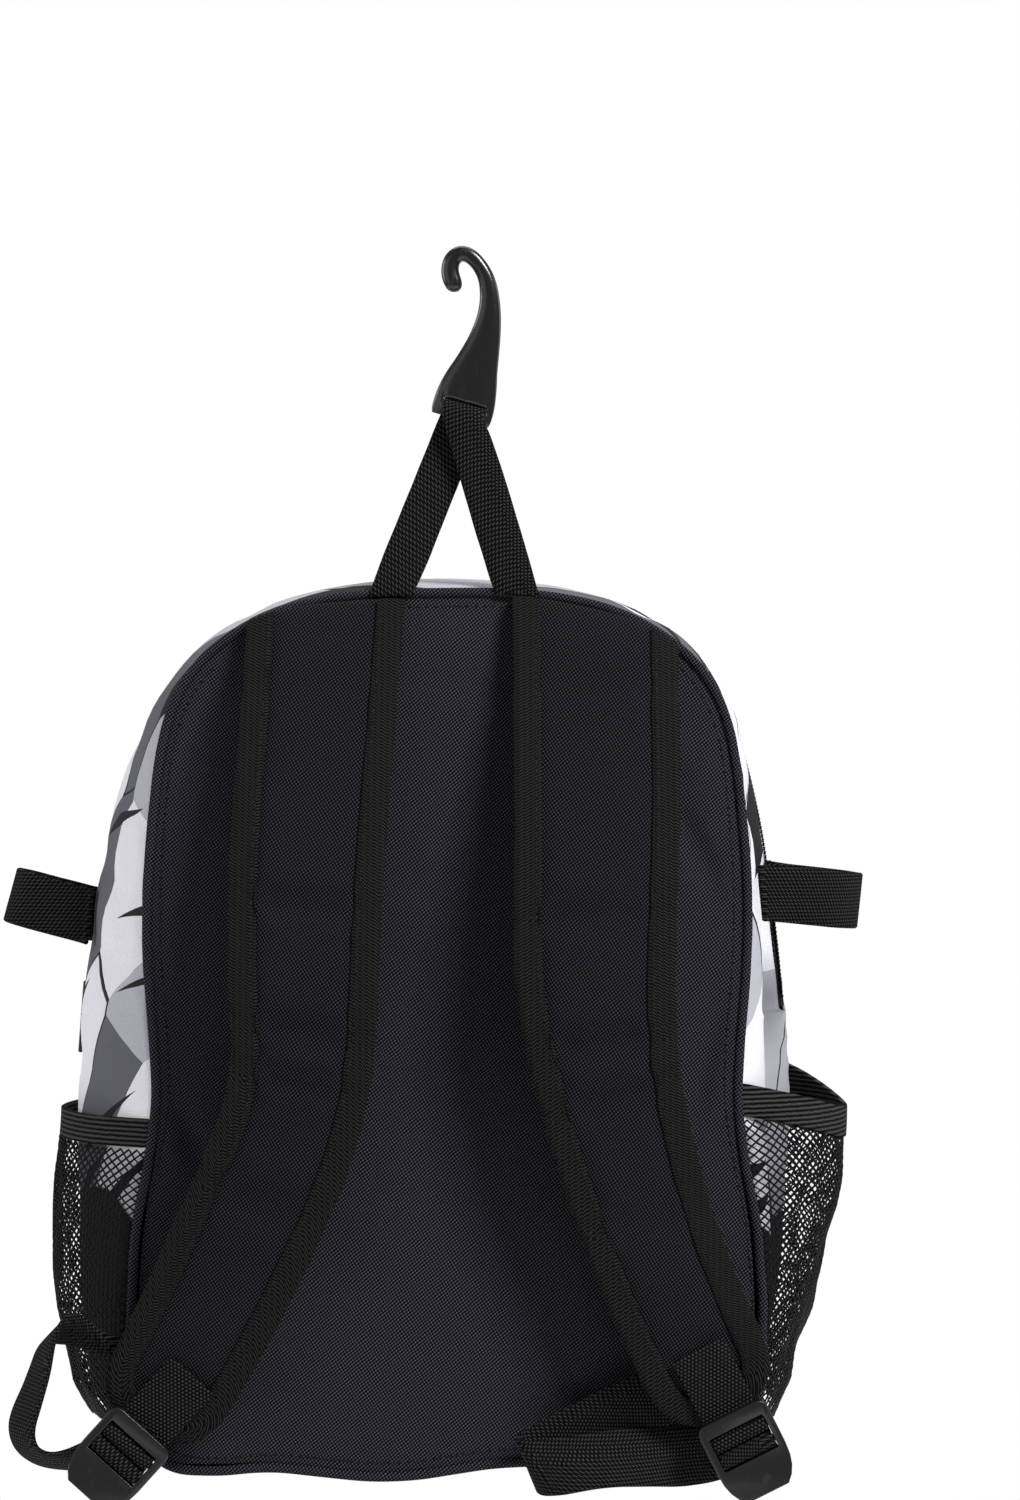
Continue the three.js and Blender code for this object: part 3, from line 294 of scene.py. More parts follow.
def sewn_copy(node, name, levels, sharp=math.radians(42), crease=0.9):
    """A finer copy of a node: welded, with its facets paired into quads and then rounded."""
    mesh = bpy.data.meshes.new(name)
    shape = bmesh.new()
    shape.from_mesh(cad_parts[node].data)
    bmesh.ops.remove_doubles(shape, verts=shape.verts, dist=WELD)
    bmesh.ops.join_triangles(
        shape,
        faces=shape.faces,
        angle_face_threshold=math.radians(30),
        angle_shape_threshold=math.radians(70),
    )
    layer = shape.edges.layers.float.get("crease_edge") or shape.edges.layers.float.new("crease_edge")
    for edge in shape.edges:
        if len(edge.link_faces) == 2 and edge.calc_face_angle(0) > sharp:
            edge[layer] = crease
    shape.to_mesh(mesh)
    shape.free()
    obj = add_object(name, mesh)
    if levels:
        rounded = obj.modifiers.new("Rounded", "SUBSURF")
        rounded.levels = rounded.render_levels = levels
        settle_modifiers(obj)
    return obj


def moulded_copy(node, name, bevel=0.0005, steps=3):
    """A copy of a rigid node with a small moulded radius on its edges."""
    mesh = bpy.data.meshes.new(name)
    shape = bmesh.new()
    shape.from_mesh(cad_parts[node].data)
    bmesh.ops.remove_doubles(shape, verts=shape.verts, dist=WELD)
    bmesh.ops.dissolve_limit(shape, angle_limit=math.radians(1), verts=shape.verts, edges=shape.edges)
    shape.to_mesh(mesh)
    shape.free()
    obj = add_object(name, mesh)
    edge = obj.modifiers.new("Moulded edge", "BEVEL")
    edge.width = bevel
    edge.segments = steps
    edge.limit_method = "ANGLE"
    edge.angle_limit = math.radians(38)
    edge.use_clamp_overlap = True
    edge.harden_normals = False
    settle_modifiers(obj)
    soften_flats(obj, math.radians(40))
    return obj


def soften_flats(obj, angle):
    """Smooth shading that stops at edges sharper than an angle."""
    shape = bmesh.new()
    shape.from_mesh(obj.data)
    for edge in shape.edges:
        edge.smooth = len(edge.link_faces) != 2 or edge.calc_face_angle(0) < angle
    shape.to_mesh(obj.data)
    shape.free()


def tree_of(*objects):
    """One search tree over the faces of several objects."""
    points = []
    faces = []
    for obj in objects:
        start = len(points)
        points.extend(vertex.co.copy() for vertex in obj.data.vertices)
        faces.extend([start + index for index in face.vertices] for face in obj.data.polygons)
    return BVHTree.FromPolygons(points, faces)


def blob(points, place, along, across, turn, length, width):
    """How strongly a fold acts at each point: 1 on its line, fading over its half length and half width."""
    cosine, sine = math.cos(turn), math.sin(turn)
    offset = points - np.array(place)
    lengthway = offset[:, along] * cosine + offset[:, across] * sine
    sideway = -offset[:, along] * sine + offset[:, across] * cosine
    return np.exp(-((lengthway / length) ** 2) * 1.4) * np.exp(-((sideway / width) ** 2))


def slow_noise(points, scale, seed):
    """Smooth noise from about -1 to 1 at each point."""
    shift = Vector((seed * 7.3, seed * 3.1, seed * 5.7))
    return np.array([noise.noise(Vector(point) * scale + shift) for point in points])


def bag_angle(points):
    """Angle of each point round the bag's middle, from +X towards +Z, with its jump straight below."""
    angle = np.arctan2(points[:, 2] - BAG_MIDDLE.z, points[:, 0] - BAG_MIDDLE.x)
    return (angle + math.pi / 2) % (2 * math.pi) - math.pi / 2


def bag_reach(points):
    """Distance of each point from the bag's middle line."""
    return np.hypot(points[:, 0] - BAG_MIDDLE.x, points[:, 2] - BAG_MIDDLE.z)


def set_cloth(obj, across, along):
    """Stores where each point lies in its cloth, across and along the weave, for the weave's nodes."""
    data = np.zeros((len(obj.data.vertices), 3), dtype=np.float32)
    data[:, 0] = across
    data[:, 1] = along
    layer = obj.data.attributes.new("cloth", "FLOAT_VECTOR", "POINT")
    layer.data.foreach_set("vector", data.ravel())


def lay_flat(obj):
    """Cloth places for a piece that faces the straps or the front."""
    points = coordinates(obj)
    set_cloth(obj, points[:, 0], points[:, 2])


def lay_round(obj):
    """Cloth places for a piece that runs round the bag's side."""
    points = coordinates(obj)
    reach = bag_reach(points)
    set_cloth(obj, bag_angle(points) * float(np.median(reach)), points[:, 1])


def ribbon_places(obj, seed):
    """Distance along a ribbon from the points nearest to a seed, walked over its edges."""
    mesh = obj.data
    count = len(mesh.vertices)
    points = coordinates(obj)
    ends = np.empty(len(mesh.edges) * 2, dtype=np.int64)
    mesh.edges.foreach_get("vertices", ends)
    ends = ends.reshape(-1, 2)
    lengths = np.linalg.norm(points[ends[:, 0]] - points[ends[:, 1]], axis=1)
    distance = np.full(count, np.inf)
    near = np.linalg.norm(points - np.array(seed), axis=1)
    distance[near <= near.min() + 0.0015] = 0.0
    for _ in range(count):
        before = distance.copy()
        np.minimum.at(distance, ends[:, 0], before[ends[:, 1]] + lengths)
        np.minimum.at(distance, ends[:, 1], before[ends[:, 0]] + lengths)
        if np.allclose(before, distance, equal_nan=True, atol=1e-7):
            break
    distance[~np.isfinite(distance)] = 0.0
    return distance


def lay_ribbon(obj, seed, across):
    """Cloth places for webbing or tape: across it by its square axis, and along its length."""
    set_cloth(obj, coordinates(obj)[:, across], ribbon_places(obj, seed))


def resampled(path, step, closed=False):
    """The points of a path again, at even steps along it."""
    path = np.array(path, dtype=float)
    if closed:
        path = np.vstack([path, path[:1]])
    run = np.concatenate([[0], np.cumsum(np.linalg.norm(np.diff(path, axis=0), axis=1))])
    count = max(2, int(round(run[-1] / step)) + (0 if closed else 1))
    places = np.linspace(0, run[-1], count, endpoint=not closed)
    return np.stack([np.interp(places, run, path[:, axis]) for axis in range(3)], axis=1)


def smoothed(path, passes, closed=False):
    """A path with its kinks eased out."""
    path = np.array(path, dtype=float)
    for _ in range(passes):
        before = np.roll(path, 1, axis=0)
        after = np.roll(path, -1, axis=0)
        eased = (before + 2 * path + after) / 4
        if not closed:
            eased[0], eased[-1] = path[0], path[-1]
        path = eased
    return path


def frames_along(path, outward, closed=False):
    """For each point of a path: its lengthway, its sideway and its outward direction."""
    after = np.roll(path, -1, axis=0)
    before = np.roll(path, 1, axis=0)
    if not closed:
        after[-1] = path[-1]
        before[0] = path[0]
    lengthway = after - before
    lengthway /= np.linalg.norm(lengthway, axis=1)[:, None] + 1e-12
    out = outward - lengthway * np.sum(outward * lengthway, axis=1)[:, None]
    out /= np.linalg.norm(out, axis=1)[:, None] + 1e-12
    return lengthway, np.cross(out, lengthway), out


def tube(name, path, outward, radii, closed=False, sides=8):
    """A tube along a path, with a radius sideways and a radius outward."""
    _, side, out = frames_along(path, outward, closed)
    turns = np.arange(sides) * 2 * math.pi / sides
    rings = (
        path[:, None, :]
        + side[:, None, :] * (np.cos(turns) * radii[0])[None, :, None]
        + out[:, None, :] * (np.sin(turns) * radii[1])[None, :, None]
    )
    points = rings.reshape(-1, 3)
    faces = []
    count = len(path)
    for ring in range(count if closed else count - 1):
        here, there = ring * sides, ((ring + 1) % count) * sides
        for turn in range(sides):
            other = (turn + 1) % sides
            faces.append((here + turn, here + other, there + other, there + turn))
    if not closed:
        faces.append(tuple(reversed(range(sides))))
        faces.append(tuple((count - 1) * sides + turn for turn in range(sides)))
    return mesh_object(name, points, faces)


def capsules(name, centres, lengthways, sideways, outs, half, radii):
    """Many small round-ended rods in one mesh: stitches, or the turns of a zip's coil."""
    sides = 6
    profile = ((-1.0, 0.35), (-0.72, 1.0), (0.72, 1.0), (1.0, 0.35))
    turns = np.arange(sides) * 2 * math.pi / sides
    template = np.array(
        [
            (reach * half, math.cos(turn) * radii[0] * wide, math.sin(turn) * radii[1] * wide)
            for reach, wide in profile
            for turn in turns
        ]
    )
    faces = []
    for ring in range(len(profile) - 1):
        here = ring * sides
        there = here + sides
        for turn in range(sides):
            other = (turn + 1) % sides
            faces.append((here + turn, here + other, there + other, there + turn))
    faces.append(tuple(reversed(range(sides))))
    faces.append(tuple((len(profile) - 1) * sides + turn for turn in range(sides)))
    points = (
        centres[:, None, :]
        + lengthways[:, None, :] * template[None, :, 0:1]
        + sideways[:, None, :] * template[None, :, 1:2]
        + outs[:, None, :] * template[None, :, 2:3]
    ).reshape(-1, 3)
    size = len(template)
    all_faces = [
        tuple(index + number * size for index in face)
        for number in range(len(centres))
        for face in faces
    ]
    obj = mesh_object(name, points, all_faces)
    bm = bmesh.new()
    bm.from_mesh(obj.data)
    bmesh.ops.recalc_face_normals(bm, faces=bm.faces)
    bm.to_mesh(obj.data)
    bm.free()
    return obj


def swell(obj, caps, cloth):
    """Puffs a padded piece out as cloth under its foam's pressure, and holds each point within its cap."""
    before = coordinates(obj)
    held = obj.vertex_groups.new(name="held")
    held.add([int(index) for index in np.nonzero(caps < 0.0004)[0]], 1.0, "REPLACE")
    cover = obj.modifiers.new("Cover", "CLOTH")
    cover.settings.quality = 5
    cover.settings.mass = 0.3
    cover.settings.tension_stiffness = 12
    cover.settings.compression_stiffness = 12
    cover.settings.bending_stiffness = 0.6
    cover.settings.use_pressure = True
    cover.settings.uniform_pressure_force = cloth.padding_pressure
    cover.settings.vertex_group_mass = "held"
    cover.settings.effector_weights.gravity = 0
    cover.collision_settings.use_collision = False
    cover.collision_settings.use_self_collision = False
    cover.point_cache.frame_start = 1
    cover.point_cache.frame_end = cloth.settle_frames
    scene = bpy.context.scene
    for number in range(1, cloth.settle_frames + 1):
        scene.frame_set(number)
    evaluated = obj.evaluated_get(bpy.context.evaluated_depsgraph_get())
    after = np.empty(len(evaluated.data.vertices) * 3)
    evaluated.data.vertices.foreach_get("co", after)
    move = after.reshape(-1, 3) - before
    obj.modifiers.remove(cover)
    scene.frame_set(1)
    reach = np.linalg.norm(move, axis=1)
    limit = np.minimum(1.0, caps / np.maximum(reach, 1e-9))
    move_points(obj, before + move * limit[:, None])


def drape(obj, body=BODY):
    """Lets a finished piece ride on the bag."""
    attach(obj, body)
    return obj


# Shader nodes


def fill(tree, node, inputs):
    """Links a node's inputs to sockets, or sets them to plain values."""
    for key, value in inputs.items():
        socket = node.inputs[key]
        if isinstance(value, bpy.types.NodeSocket):
            tree.links.new(value, socket)
        else:
            socket.default_value = value
    return node


def shader(tree, kind, inputs=None, **settings):
    """Adds one node, sets its settings, and fills or links its inputs."""
    made = tree.nodes.new(kind)
    for key, value in settings.items():
        setattr(made, key, value)
    return fill(tree, made, inputs or {})


def maths(tree, operation, *values):
    """The result of one maths node."""
    return shader(tree, "ShaderNodeMath", dict(enumerate(values)), operation=operation).outputs[0]


def mixed(tree, factor, first, second):
    """A colour between two colours."""
    node = shader(tree, "ShaderNodeMix", {0: factor, 6: first, 7: second}, data_type="RGBA")
    return node.outputs[2]


def ramp(tree, value, low, high):
    """A value of 0 below low, 1 above high and straight between."""
    return shader(
        tree, "ShaderNodeMapRange", {"Value": value, "From Min": low, "From Max": high}, clamp=True
    ).outputs["Result"]


def object_place(tree):
    """Where a surface point lies in its object."""
    return shader(tree, "ShaderNodeTexCoord").outputs["Object"]


def noisy(tree, place, scale, detail):
    """Smooth noise from 0 to 1 at a place."""
    inputs = {"Vector": place, "Scale": scale, "Detail": detail}
    return shader(tree, "ShaderNodeTexNoise", inputs).outputs["Fac"]


def rib(tree, value):
    """A wave of rounded ridges, one for each whole number."""
    hump = maths(tree, "PINGPONG", value, 0.5)
    return maths(tree, "SINE", maths(tree, "MULTIPLY", hump, math.pi))


def solid(colour):
    """A colour with full alpha."""
    return (*colour, 1.0)


def node_group(name, inputs, outputs):
    """A new shader group with named sockets, with its input and output nodes."""
    tree = bpy.data.node_groups.new(name, "ShaderNodeTree")
    for title, kind, default in inputs:
        socket = tree.interface.new_socket(title, in_out="INPUT", socket_type=kind)
        if default is not None:
            socket.default_value = default
    for title, kind in outputs:
        tree.interface.new_socket(title, in_out="OUTPUT", socket_type=kind)
    given = tree.nodes.new("NodeGroupInput").outputs
    result = tree.nodes.new("NodeGroupOutput").inputs
    return tree, given, result


def twill_group():
    """Diagonal ribs of twill, broken into beads by the threads that cross them."""
    tree, given, result = node_group(
        "Twill weave",
        [
            ("Cloth", "NodeSocketVector", None),
            ("Pitch", "NodeSocketFloat", 0.0014),
            ("Cross", "NodeSocketFloat", 0.45),
        ],
        [("Thread", "NodeSocketFloat")],
    )
    parts = shader(tree, "ShaderNodeSeparateXYZ", {"Vector": given["Cloth"]})
    across = maths(tree, "DIVIDE", parts.outputs["X"], given["Pitch"])
    along = maths(tree, "DIVIDE", parts.outputs["Y"], given["Pitch"])
    wander = noisy(tree, given["Cloth"], 160.0, 1.0)
    rising = maths(
        tree, "SUBTRACT", maths(tree, "MULTIPLY", along, 0.78), maths(tree, "MULTIPLY", across, 0.63)
    )
    falling = maths(tree, "ADD", maths(tree, "MULTIPLY", across, 0.82), maths(tree, "MULTIPLY", along, 0.47))
    ridge = rib(tree, maths(tree, "ADD", rising, maths(tree, "MULTIPLY", wander, 0.6)))
    crossing = rib(tree, maths(tree, "SUBTRACT", falling, maths(tree, "MULTIPLY", wander, 0.6)))
    sunk = maths(tree, "MULTIPLY", given["Cross"], maths(tree, "SUBTRACT", 1.0, crossing))
    tree.links.new(maths(tree, "MULTIPLY", ridge, maths(tree, "SUBTRACT", 1.0, sunk)), result["Thread"])
    return tree


def ribbed_group():
    """Staggered beads of yarn in rows across a ribbon, as webbing and edge tape show."""
    tree, given, result = node_group(
        "Ribbed tape",
        [
            ("Cloth", "NodeSocketVector", None),
            ("Rib", "NodeSocketFloat", 0.0017),
            ("Yarn", "NodeSocketFloat", 0.75),
            ("Gap", "NodeSocketFloat", 0.7),
        ],
        [("Height", "NodeSocketFloat"), ("Thread", "NodeSocketFloat")],
    )
    parts = shader(tree, "ShaderNodeSeparateXYZ", {"Vector": given["Cloth"]})
    place = object_place(tree)
    uneven = noisy(tree, place, 420.0, 1.0)
    along = maths(tree, "DIVIDE", parts.outputs["Y"], given["Rib"])
    across = maths(tree, "DIVIDE", parts.outputs["X"], maths(tree, "MULTIPLY", given["Rib"], given["Yarn"]))
    stagger = maths(tree, "MULTIPLY", maths(tree, "FLOOR", across), 0.5)
    staggered = maths(tree, "ADD", along, stagger)
    ridge = rib(tree, maths(tree, "ADD", staggered, maths(tree, "MULTIPLY", uneven, 0.3)))
    gap = maths(tree, "MULTIPLY", given["Gap"], maths(tree, "SUBTRACT", 1.0, rib(tree, across)))
    beads = maths(tree, "MULTIPLY", ridge, maths(tree, "SUBTRACT", 1.0, gap))
    height = maths(tree, "ADD", maths(tree, "MULTIPLY", beads, 0.85), maths(tree, "MULTIPLY", uneven, 0.15))
    tree.links.new(height, result["Height"])
    tree.links.new(beads, result["Thread"])
    return tree


def dust_and_thread_shade_group():
    """Faint dust and rub marks that lighten a dark cloth, and painted light and shade on its weave: the
    raised threads are painted lighter and the gaps between them darker.
    """
    tree, given, result = node_group(
        "Dust and painted thread shade",
        [
            ("Colour", "NodeSocketColor", (0, 0, 0, 1)),
            ("Thread", "NodeSocketFloat", 0.0),
            ("Contrast", "NodeSocketFloat", 4.4),
            ("Amount", "NodeSocketFloat", 0.3),
            ("Scale", "NodeSocketFloat", 14.0),
        ],
        [("Colour", "NodeSocketColor"), ("Rough", "NodeSocketFloat")],
    )
    place = object_place(tree)
    cloud = shader(
        tree,
        "ShaderNodeTexNoise",
        {"Vector": place, "Scale": given["Scale"], "Detail": 4.0, "Roughness": 0.6},
    ).outputs["Fac"]
    speck = noisy(tree, place, 900.0, 2.0)
    soft = ramp(tree, cloud, 0.42, 0.72)
    specks = ramp(tree, speck, 0.66, 0.8)
    marks = maths(tree, "ADD", maths(tree, "MULTIPLY", soft, 0.6), specks)
    lift = maths(tree, "MULTIPLY", given["Amount"], marks)
    # Painted light and shade: the thread's height scales the colour, so raised threads are painted lighter
    # and the gaps between threads darker.
    painted_thread_light = maths(tree, "MULTIPLY", maths(tree, "POWER", given["Thread"], 2.4), given["Contrast"])
    shade = maths(tree, "ADD", 0.03, painted_thread_light)
    toned = shader(
        tree, "ShaderNodeVectorMath", {0: given["Colour"], "Scale": shade}, operation="SCALE"
    ).outputs[0]
    dusted = mixed(tree, maths(tree, "MULTIPLY", lift, 0.05), toned, (0.2, 0.195, 0.19, 1))
    tree.links.new(dusted, result["Colour"])
    tree.links.new(maths(tree, "ADD", 0.74, maths(tree, "MULTIPLY", soft, 0.16)), result["Rough"])
    return tree


def grain_group():
    """Fine spark-eroded grain of moulded plastic with a few scuffs."""
    tree, given, result = node_group(
        "Moulded grain",
        [("Colour", "NodeSocketColor", (0, 0, 0, 1)), ("Rough", "NodeSocketFloat", 0.4)],
        [("Colour", "NodeSocketColor"), ("Rough", "NodeSocketFloat"), ("Height", "NodeSocketFloat")],
    )
    place = object_place(tree)
    fine = noisy(tree, place, 1700.0, 2.0)
    stretched = shader(tree, "ShaderNodeMapping", {"Vector": place, "Scale": (260.0, 900.0, 60.0)}).outputs[0]
    scuff = noisy(tree, stretched, 1.0, 3.0)
    mark = ramp(tree, scuff, 0.62, 0.78)
    worn = mixed(tree, maths(tree, "MULTIPLY", mark, 0.035), given["Colour"], (0.25, 0.25, 0.26, 1))
    tree.links.new(worn, result["Colour"])
    tree.links.new(maths(tree, "ADD", given["Rough"], maths(tree, "MULTIPLY", mark, 0.18)), result["Rough"])
    tree.links.new(fine, result["Height"])
    return tree


def print_group():
    """A print of long bent shards in white, silver, grey and black, with a black foot."""
    tree, given, result = node_group(
        "Shard print",
        [
            ("Cloth", "NodeSocketVector", None),
            ("Ground", "NodeSocketColor", (0.7, 0.7, 0.7, 1)),
            ("Silver", "NodeSocketColor", (0.4, 0.4, 0.4, 1)),
            ("Grey", "NodeSocketColor", (0.1, 0.1, 0.1, 1)),
            ("Black", "NodeSocketColor", (0.01, 0.01, 0.01, 1)),
            ("Foot", "NodeSocketFloat", -0.44),
        ],
        [("Colour", "NodeSocketColor")],
    )
    drift = shader(
        tree, "ShaderNodeTexNoise", {"Vector": given["Cloth"], "Scale": 10.0, "Detail": 0.0}
    ).outputs["Color"]
    bent = shader(
        tree,
        "ShaderNodeVectorMath",
        {0: drift, 1: (0.035, 0.035, 0.0), 2: given["Cloth"]},
        operation="MULTIPLY_ADD",
    ).outputs[0]

    def shards(place, turn, length, width, shift, feature, distance="EUCLIDEAN"):
        """Cells of one size that lie at one turn across the cloth."""
        laid = shader(
            tree,
            "ShaderNodeMapping",
            {
                "Vector": place,
                "Location": (shift, shift / 2, 0),
                "Rotation": (0, 0, math.radians(turn)),
                "Scale": (length, width, 1),
            },
            vector_type="TEXTURE",
        ).outputs[0]
        return shader(
            tree,
            "ShaderNodeTexVoronoi",
            {"Vector": laid, "Scale": 1.0},
            voronoi_dimensions="2D",
            feature=feature,
            distance=distance,
        )

    height = shader(
        tree, "ShaderNodeSeparateXYZ", {"Vector": object_place(tree)}
    ).outputs["Z"]
    long_shard = {"turn": 24, "length": 0.1, "width": 0.038, "shift": 0.31}
    top_of_bag = 0.28
    cells = shards(bent, feature="F1", **long_shard)
    edges = shards(bent, feature="DISTANCE_TO_EDGE", **long_shard).outputs["Distance"]
    chance = shader(tree, "ShaderNodeSeparateColor", {"Color": cells.outputs["Color"]}).outputs
    lean = math.radians(long_shard["turn"])
    across_cloth = (long_shard["length"] * math.cos(lean), -long_shard["width"] * math.sin(lean), 0)
    round_bag = shader(
        tree,
        "ShaderNodeVectorMath",
        {0: cells.outputs["Position"], 1: across_cloth},
        operation="DOT_PRODUCT",
    ).outputs["Value"]
    shard_place = maths(tree, "ADD", round_bag, long_shard["shift"])
    from_top = maths(tree, "ABSOLUTE", maths(tree, "SUBTRACT", shard_place, top_of_bag))
    near_top = maths(tree, "SUBTRACT", 1.0, ramp(tree, from_top, 0.08, 0.18))
    shoulder = maths(tree, "MULTIPLY", near_top, 0.25)
    drawn = maths(tree, "ADD", chance[0], shoulder)
    colour = given["Ground"]
    for share, shade in ((0.58, "Silver"), (0.72, "Grey"), (0.88, "Black")):
        colour = mixed(tree, ramp(tree, drawn, share, share + 0.001), colour, given[shade])
    line = maths(tree, "SUBTRACT", 1.0, ramp(tree, edges, 0.022, 0.03))
    outlined = maths(tree, "MULTIPLY", line, ramp(tree, chance[1], 0.6, 0.601))
    colour = mixed(tree, outlined, colour, given["Black"])
    slashes = shards(given["Cloth"], 58, 0.085, 0.013, 0.12, "F1", "MANHATTAN")
    picked = shader(tree, "ShaderNodeSeparateColor", {"Color": slashes.outputs["Color"]}).outputs[0]
    core = maths(tree, "SUBTRACT", 1.0, ramp(tree, slashes.outputs["Distance"], 0.27, 0.28))
    slashed = maths(tree, "MULTIPLY", core, ramp(tree, picked, 0.72, 0.721))
    colour = mixed(tree, slashed, colour, given["Black"])
    drift_x = shader(tree, "ShaderNodeSeparateXYZ", {"Vector": drift}).outputs["X"]
    bends = maths(tree, "MULTIPLY", drift_x, 0.1)
    level = maths(tree, "SUBTRACT", maths(tree, "ADD", height, bends), given["Foot"])
    foot = maths(tree, "SUBTRACT", 1.0, ramp(tree, level, 0.05, 0.051))
    tree.links.new(mixed(tree, foot, colour, given["Black"]), result["Colour"])
    return tree


def group_node(tree, name, inputs):
    """Places a shared group in a material."""
    made = tree.nodes.new("ShaderNodeGroup")
    made.node_tree = bpy.data.node_groups[name]
    return fill(tree, made, inputs)


def new_material(name, colour):
    """An empty node material with its viewport colour."""
    material = bpy.data.materials.new(name)
    material.use_nodes = True
    material.node_tree.nodes.clear()
    material.diffuse_color = solid(colour)
    return material


def finish_material(material, inputs, height=None, depth=0.0003, strength=1.0):
    """Adds the surface shader, with a bump where a height is given."""
    tree = material.node_tree
    surface = shader(tree, "ShaderNodeBsdfPrincipled", inputs)
    if height is not None:
        bump = shader(tree, "ShaderNodeBump", {"Height": height, "Distance": depth, "Strength": strength})
        tree.links.new(bump.outputs[0], surface.inputs["Normal"])
    output = tree.nodes.new("ShaderNodeOutputMaterial")
    tree.links.new(surface.outputs[0], output.inputs["Surface"])
    return material


def cloth_socket(tree):
    """Where a surface point lies in its cloth."""
    laid = shader(tree, "ShaderNodeAttribute", attribute_name="cloth", attribute_type="GEOMETRY")
    return laid.outputs["Vector"]


def twill_material(name, colour, sizes, cross, sheen):
    """Black polyester twill. Cross is how deep the crossing threads cut its ribs."""
    material = new_material(name, colour)
    tree = material.node_tree
    weave = group_node(
        tree, "Twill weave", {"Cloth": cloth_socket(tree), "Pitch": sizes.weave_pitch, "Cross": cross}
    )
    # This group paints the twill's raised threads lighter and its gaps darker as painted light and shade, and
    # adds real dust.
    dust_and_shade = group_node(
        tree,
        "Dust and painted thread shade",
        {"Colour": solid(colour), "Thread": weave.outputs["Thread"], "Amount": 0.35, "Scale": 11.0},
    )
    inputs = {
        "Base Color": dust_and_shade.outputs["Colour"],
        "Roughness": dust_and_shade.outputs["Rough"],
        "Sheen Weight": sheen,
        "Sheen Roughness": 0.42,
        "Specular IOR Level": 0.04,
    }
    return finish_material(material, inputs, weave.outputs["Thread"], sizes.weave_depth, 0.9)


def ribbed_material(name, colour, rib_length, depth, yarn, gap):
    """Webbing or edge tape with rows of beads across it. Yarn is a bead's width as a share of its length."""
    material = new_material(name, colour)
    tree = material.node_tree
    weave = group_node(
        tree, "Ribbed tape", {"Cloth": cloth_socket(tree), "Rib": rib_length, "Yarn": yarn, "Gap": gap}
    )
    # This group paints the ribbon's beads lighter and the gaps between them darker as painted light and
    # shade, and adds real dust.
    dust_and_shade = group_node(
        tree,
        "Dust and painted thread shade",
        {"Colour": solid(colour), "Thread": weave.outputs["Thread"], "Amount": 0.1, "Scale": 18.0},
    )
    inputs = {
        "Base Color": dust_and_shade.outputs["Colour"],
        "Roughness": dust_and_shade.outputs["Rough"],
        "Sheen Weight": 0.01,
        "Sheen Roughness": 0.4,
        "Specular IOR Level": 0.04,
    }
    return finish_material(material, inputs, weave.outputs["Height"], depth, 1.0)


def print_material(name, colours, sizes):
    """Printed polyester cloth."""
    material = new_material(name, colours.print_light)
    tree = material.node_tree
    cloth = cloth_socket(tree)
    weave = group_node(tree, "Twill weave", {"Cloth": cloth, "Pitch": sizes.weave_pitch * 0.8, "Cross": 0.6})
    picture = group_node(
        tree,
        "Shard print",
        {
            "Cloth": cloth,
            "Ground": solid(colours.print_light),
            "Silver": solid(colours.print_silver),
            "Grey": solid(colours.print_grey),
            "Black": solid(colours.print_dark),
        },
    )
    dust_and_shade = group_node(
        tree,
        "Dust and painted thread shade",
        {"Colour": picture.outputs["Colour"], "Thread": 1.0, "Contrast": 0.94, "Amount": 0.3, "Scale": 16.0},
    )
    inputs = {
        "Base Color": dust_and_shade.outputs["Colour"],
        "Roughness": dust_and_shade.outputs["Rough"],
        "Sheen Weight": 0.02,
        "Sheen Roughness": 0.4,
        "Specular IOR Level": 0.16,
    }
    return finish_material(material, inputs, weave.outputs["Thread"], sizes.weave_depth * 0.5, 0.6)


def plastic_material(name, colour, rough, coat=0.0):
    """Moulded plastic with a fine grain."""
    material = new_material(name, colour)
    tree = material.node_tree
    grain = group_node(tree, "Moulded grain", {"Colour": solid(colour), "Rough": rough})
    inputs = {
        "Base Color": grain.outputs["Colour"],
        "Roughness": grain.outputs["Rough"],
        "Coat Weight": coat,
        "Coat Roughness": 0.22,
        "Specular IOR Level": 0.4,
    }
    return finish_material(material, inputs, grain.outputs["Height"], 0.00006, 0.7)


def yarn_material(name, colour, rough):
    """Thread, net strands and zip coils, with a fine twist."""
    material = new_material(name, colour)
    tree = material.node_tree
    place = object_place(tree)
    twist = noisy(tree, place, 1500.0, 2.0)
    # The twist's noise also scales the colour through the same group: painted light on the raised twist and
    # painted shade between its turns.
    dust_and_shade = group_node(
        tree, "Dust and painted thread shade", {"Colour": solid(colour), "Thread": twist, "Amount": 0.2, "Scale": 25.0}
    )
    inputs = {
        "Base Color": dust_and_shade.outputs["Colour"],
        "Roughness": rough,
        "Sheen Weight": 0.01,
        "Sheen Roughness": 0.4,
        "Specular IOR Level": 0.1,
    }
    return finish_material(material, inputs, twist, 0.0001, 0.5)


